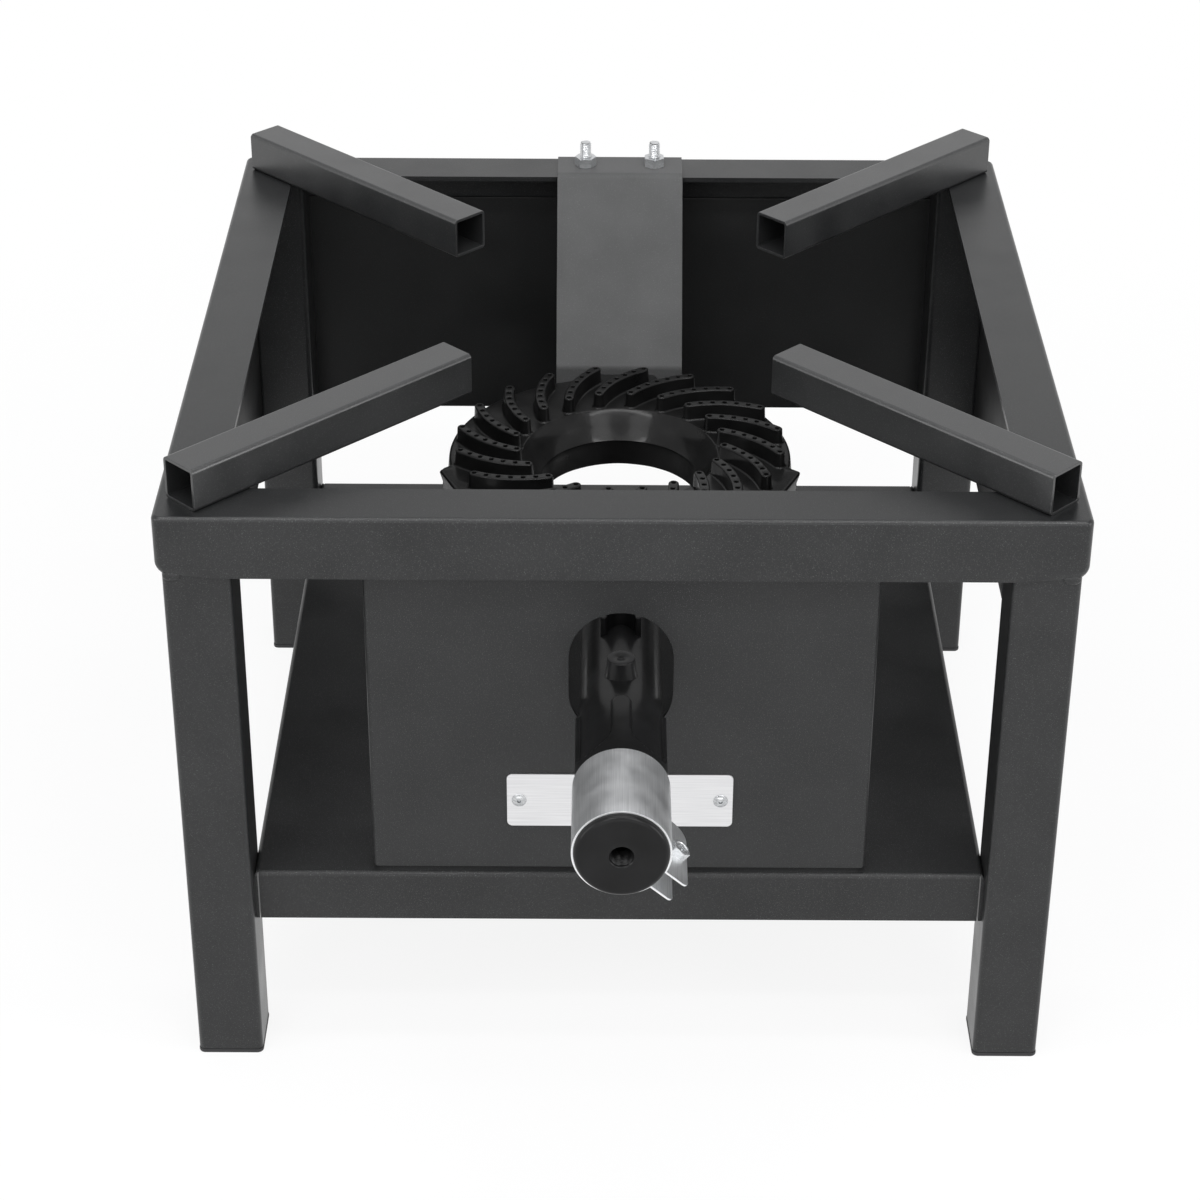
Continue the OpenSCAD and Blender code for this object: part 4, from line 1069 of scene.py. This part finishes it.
studioLook = {
    "floorHalf": 6, "floorDrop": 0.1 * mm, "floorShade": (0.86, 0.86, 0.86, 1), "floorRough": 0.9,
    "floorGloss": 0.1, "glowFrom": 0.35, "glowTo": 0.9, "glowNear": 0.88, "glowFar": 1.0,
    "skyShade": (0.95, 0.97, 1.0, 1), "skyStrength": 0.45, "ceiling": (0.5, 0.5, 0.51),
    "ceilingFrom": 0.4, "ceilingTo": 0.85, "aimHeight": 0.2,
}


def seenDirectly(tree):
    # 1 where it is seen, also in a reflection, and 0 where it only lights the stove
    rays = tree.nodes.new("ShaderNodeLightPath")
    return mathNode(tree, "MAXIMUM", rays.outputs["Is Camera Ray"],
                    mathNode(tree, "MAXIMUM", rays.outputs["Is Glossy Ray"],
                             rays.outputs["Is Transmission Ray"]))


def buildFloor():
    s = studioLook
    bm = bmesh.new()
    bmesh.ops.create_grid(bm, x_segments=1, y_segments=1, size=s["floorHalf"])
    bmesh.ops.translate(bm, vec=(0, 0, -s["floorDrop"]), verts=bm.verts[:])
    mesh = bpy.data.meshes.new("paleFloor")
    bm.to_mesh(mesh)
    bm.free()
    floor = addObject("paleFloor", mesh)
    material, tree, shader = newFinish("pale floor")
    shader.inputs["Base Color"].default_value = s["floorShade"]
    shader.inputs["Roughness"].default_value = s["floorRough"]
    shader.inputs["Specular IOR Level"].default_value = s["floorGloss"]
    glow = tree.nodes.new("ShaderNodeEmission")
    glow.inputs["Color"].default_value = (1, 1, 1, 1)
    mix = tree.nodes.new("ShaderNodeMixShader")
    # The floor turns to plain white away from the stove, and keeps a little of its shadow near it
    far = tree.nodes.new("ShaderNodeVectorMath")
    far.operation = "LENGTH"
    tree.links.new(tree.nodes.new("ShaderNodeTexCoord").outputs["Object"], far.inputs[0])
    lift = rangeNode(tree, far.outputs["Value"], s["glowFrom"], s["glowTo"], s["glowNear"], s["glowFar"])
    tree.links.new(mathNode(tree, "MULTIPLY", seenDirectly(tree), lift), mix.inputs["Fac"])
    tree.links.new(shader.outputs[0], mix.inputs[1])
    tree.links.new(glow.outputs[0], mix.inputs[2])
    out = next(n for n in tree.nodes if n.type == "OUTPUT_MATERIAL")
    tree.links.new(mix.outputs[0], out.inputs["Surface"])
    mesh.materials.append(material)


def buildWorld():
    s = studioLook
    world = bpy.data.worlds.new("white studio")
    bpy.context.scene.world = world
    world.use_nodes = True
    tree = world.node_tree
    tree.nodes.clear()
    out = tree.nodes.new("ShaderNodeOutputWorld")
    soft = tree.nodes.new("ShaderNodeBackground")
    soft.inputs["Color"].default_value = s["skyShade"]
    soft.inputs["Strength"].default_value = s["skyStrength"]
    white = tree.nodes.new("ShaderNodeBackground")
    white.inputs["Strength"].default_value = 1.0
    # White round the horizon, and a soft grey ceiling over it
    parts = tree.nodes.new("ShaderNodeSeparateXYZ")
    tree.links.new(tree.nodes.new("ShaderNodeTexCoord").outputs["Generated"], parts.inputs[0])
    height = rangeNode(tree, parts.outputs["Z"], s["ceilingFrom"], s["ceilingTo"], 0.0, 1.0)
    tree.links.new(tint(tree, height, (1, 1, 1), s["ceiling"], (0.0, 1.0)), white.inputs["Color"])
    mix = tree.nodes.new("ShaderNodeMixShader")
    tree.links.new(seenDirectly(tree), mix.inputs["Fac"])
    tree.links.new(soft.outputs[0], mix.inputs[1])
    tree.links.new(white.outputs[0], mix.inputs[2])
    tree.links.new(mix.outputs[0], out.inputs["Surface"])


lampSizes = {
    "keyLeft": {"at": (-0.85, -1.5, 1.6), "size": (0.8, 0.8), "watts": 6},
    "keyRight": {"at": (0.85, -1.5, 1.6), "size": (0.8, 0.8), "watts": 7},
    "lowFront": {"at": (0.0, -2.6, 0.5), "size": (2.4, 0.7), "watts": 8},
    "leftSide": {"at": (-2.0, -0.9, 0.7), "size": (0.7, 1.2), "watts": 10},
    "rightSide": {"at": (2.0, -0.9, 0.7), "size": (0.7, 1.2), "watts": 13},
    "overhead": {"at": (0.0, -0.3, 2.2), "size": (2.0, 0.14), "watts": 13},
    "frontStrip": {"at": (0.0, -1.1, 1.9), "size": (2.2, 0.12), "watts": 14},
    "overBack": {"at": (0.0, 0.45, 2.3), "size": (1.6, 1.2), "watts": 7},
}


def buildLamps():
    for name, s in lampSizes.items():
        lamp = bpy.data.lights.new(name, "AREA")
        lamp.shape = "RECTANGLE"
        lamp.size, lamp.size_y = s["size"]
        lamp.energy = s["watts"]
        holder = addObject(name, lamp)
        holder.location = s["at"]
        aim = Vector((0, burnerY, studioLook["aimHeight"])) - Vector(s["at"])
        holder.rotation_euler = aim.to_track_quat("-Z", "Y").to_euler()


cameraSizes = {"at": (-0.0091, -1.2573, 0.9086), "yaw": -0.015, "pitch": 30.645, "roll": 0.274,
               "lens": 90.19, "sensor": 36}


def buildCamera():
    s = cameraSizes
    yaw, pitch, roll = (math.radians(s[k]) for k in ("yaw", "pitch", "roll"))
    ahead = Vector((math.sin(yaw) * math.cos(pitch), math.cos(yaw) * math.cos(pitch), -math.sin(pitch)))
    right = Vector((math.cos(yaw), -math.sin(yaw), 0))
    up = right.cross(ahead)
    turnedRight = right * math.cos(roll) + up * math.sin(roll)
    turnedUp = up * math.cos(roll) - right * math.sin(roll)
    data = bpy.data.cameras.new("photo camera")
    data.lens = s["lens"]
    data.sensor_width = s["sensor"]
    camera = addObject("photo camera", data)
    turn = Matrix((turnedRight, turnedUp, -ahead)).transposed().to_4x4()
    camera.matrix_world = Matrix.Translation(s["at"]) @ turn
    bpy.context.scene.camera = camera


buildFloor()
buildWorld()
buildLamps()
buildCamera()
bpy.context.scene.view_settings.view_transform = "Standard"
print("studio made")
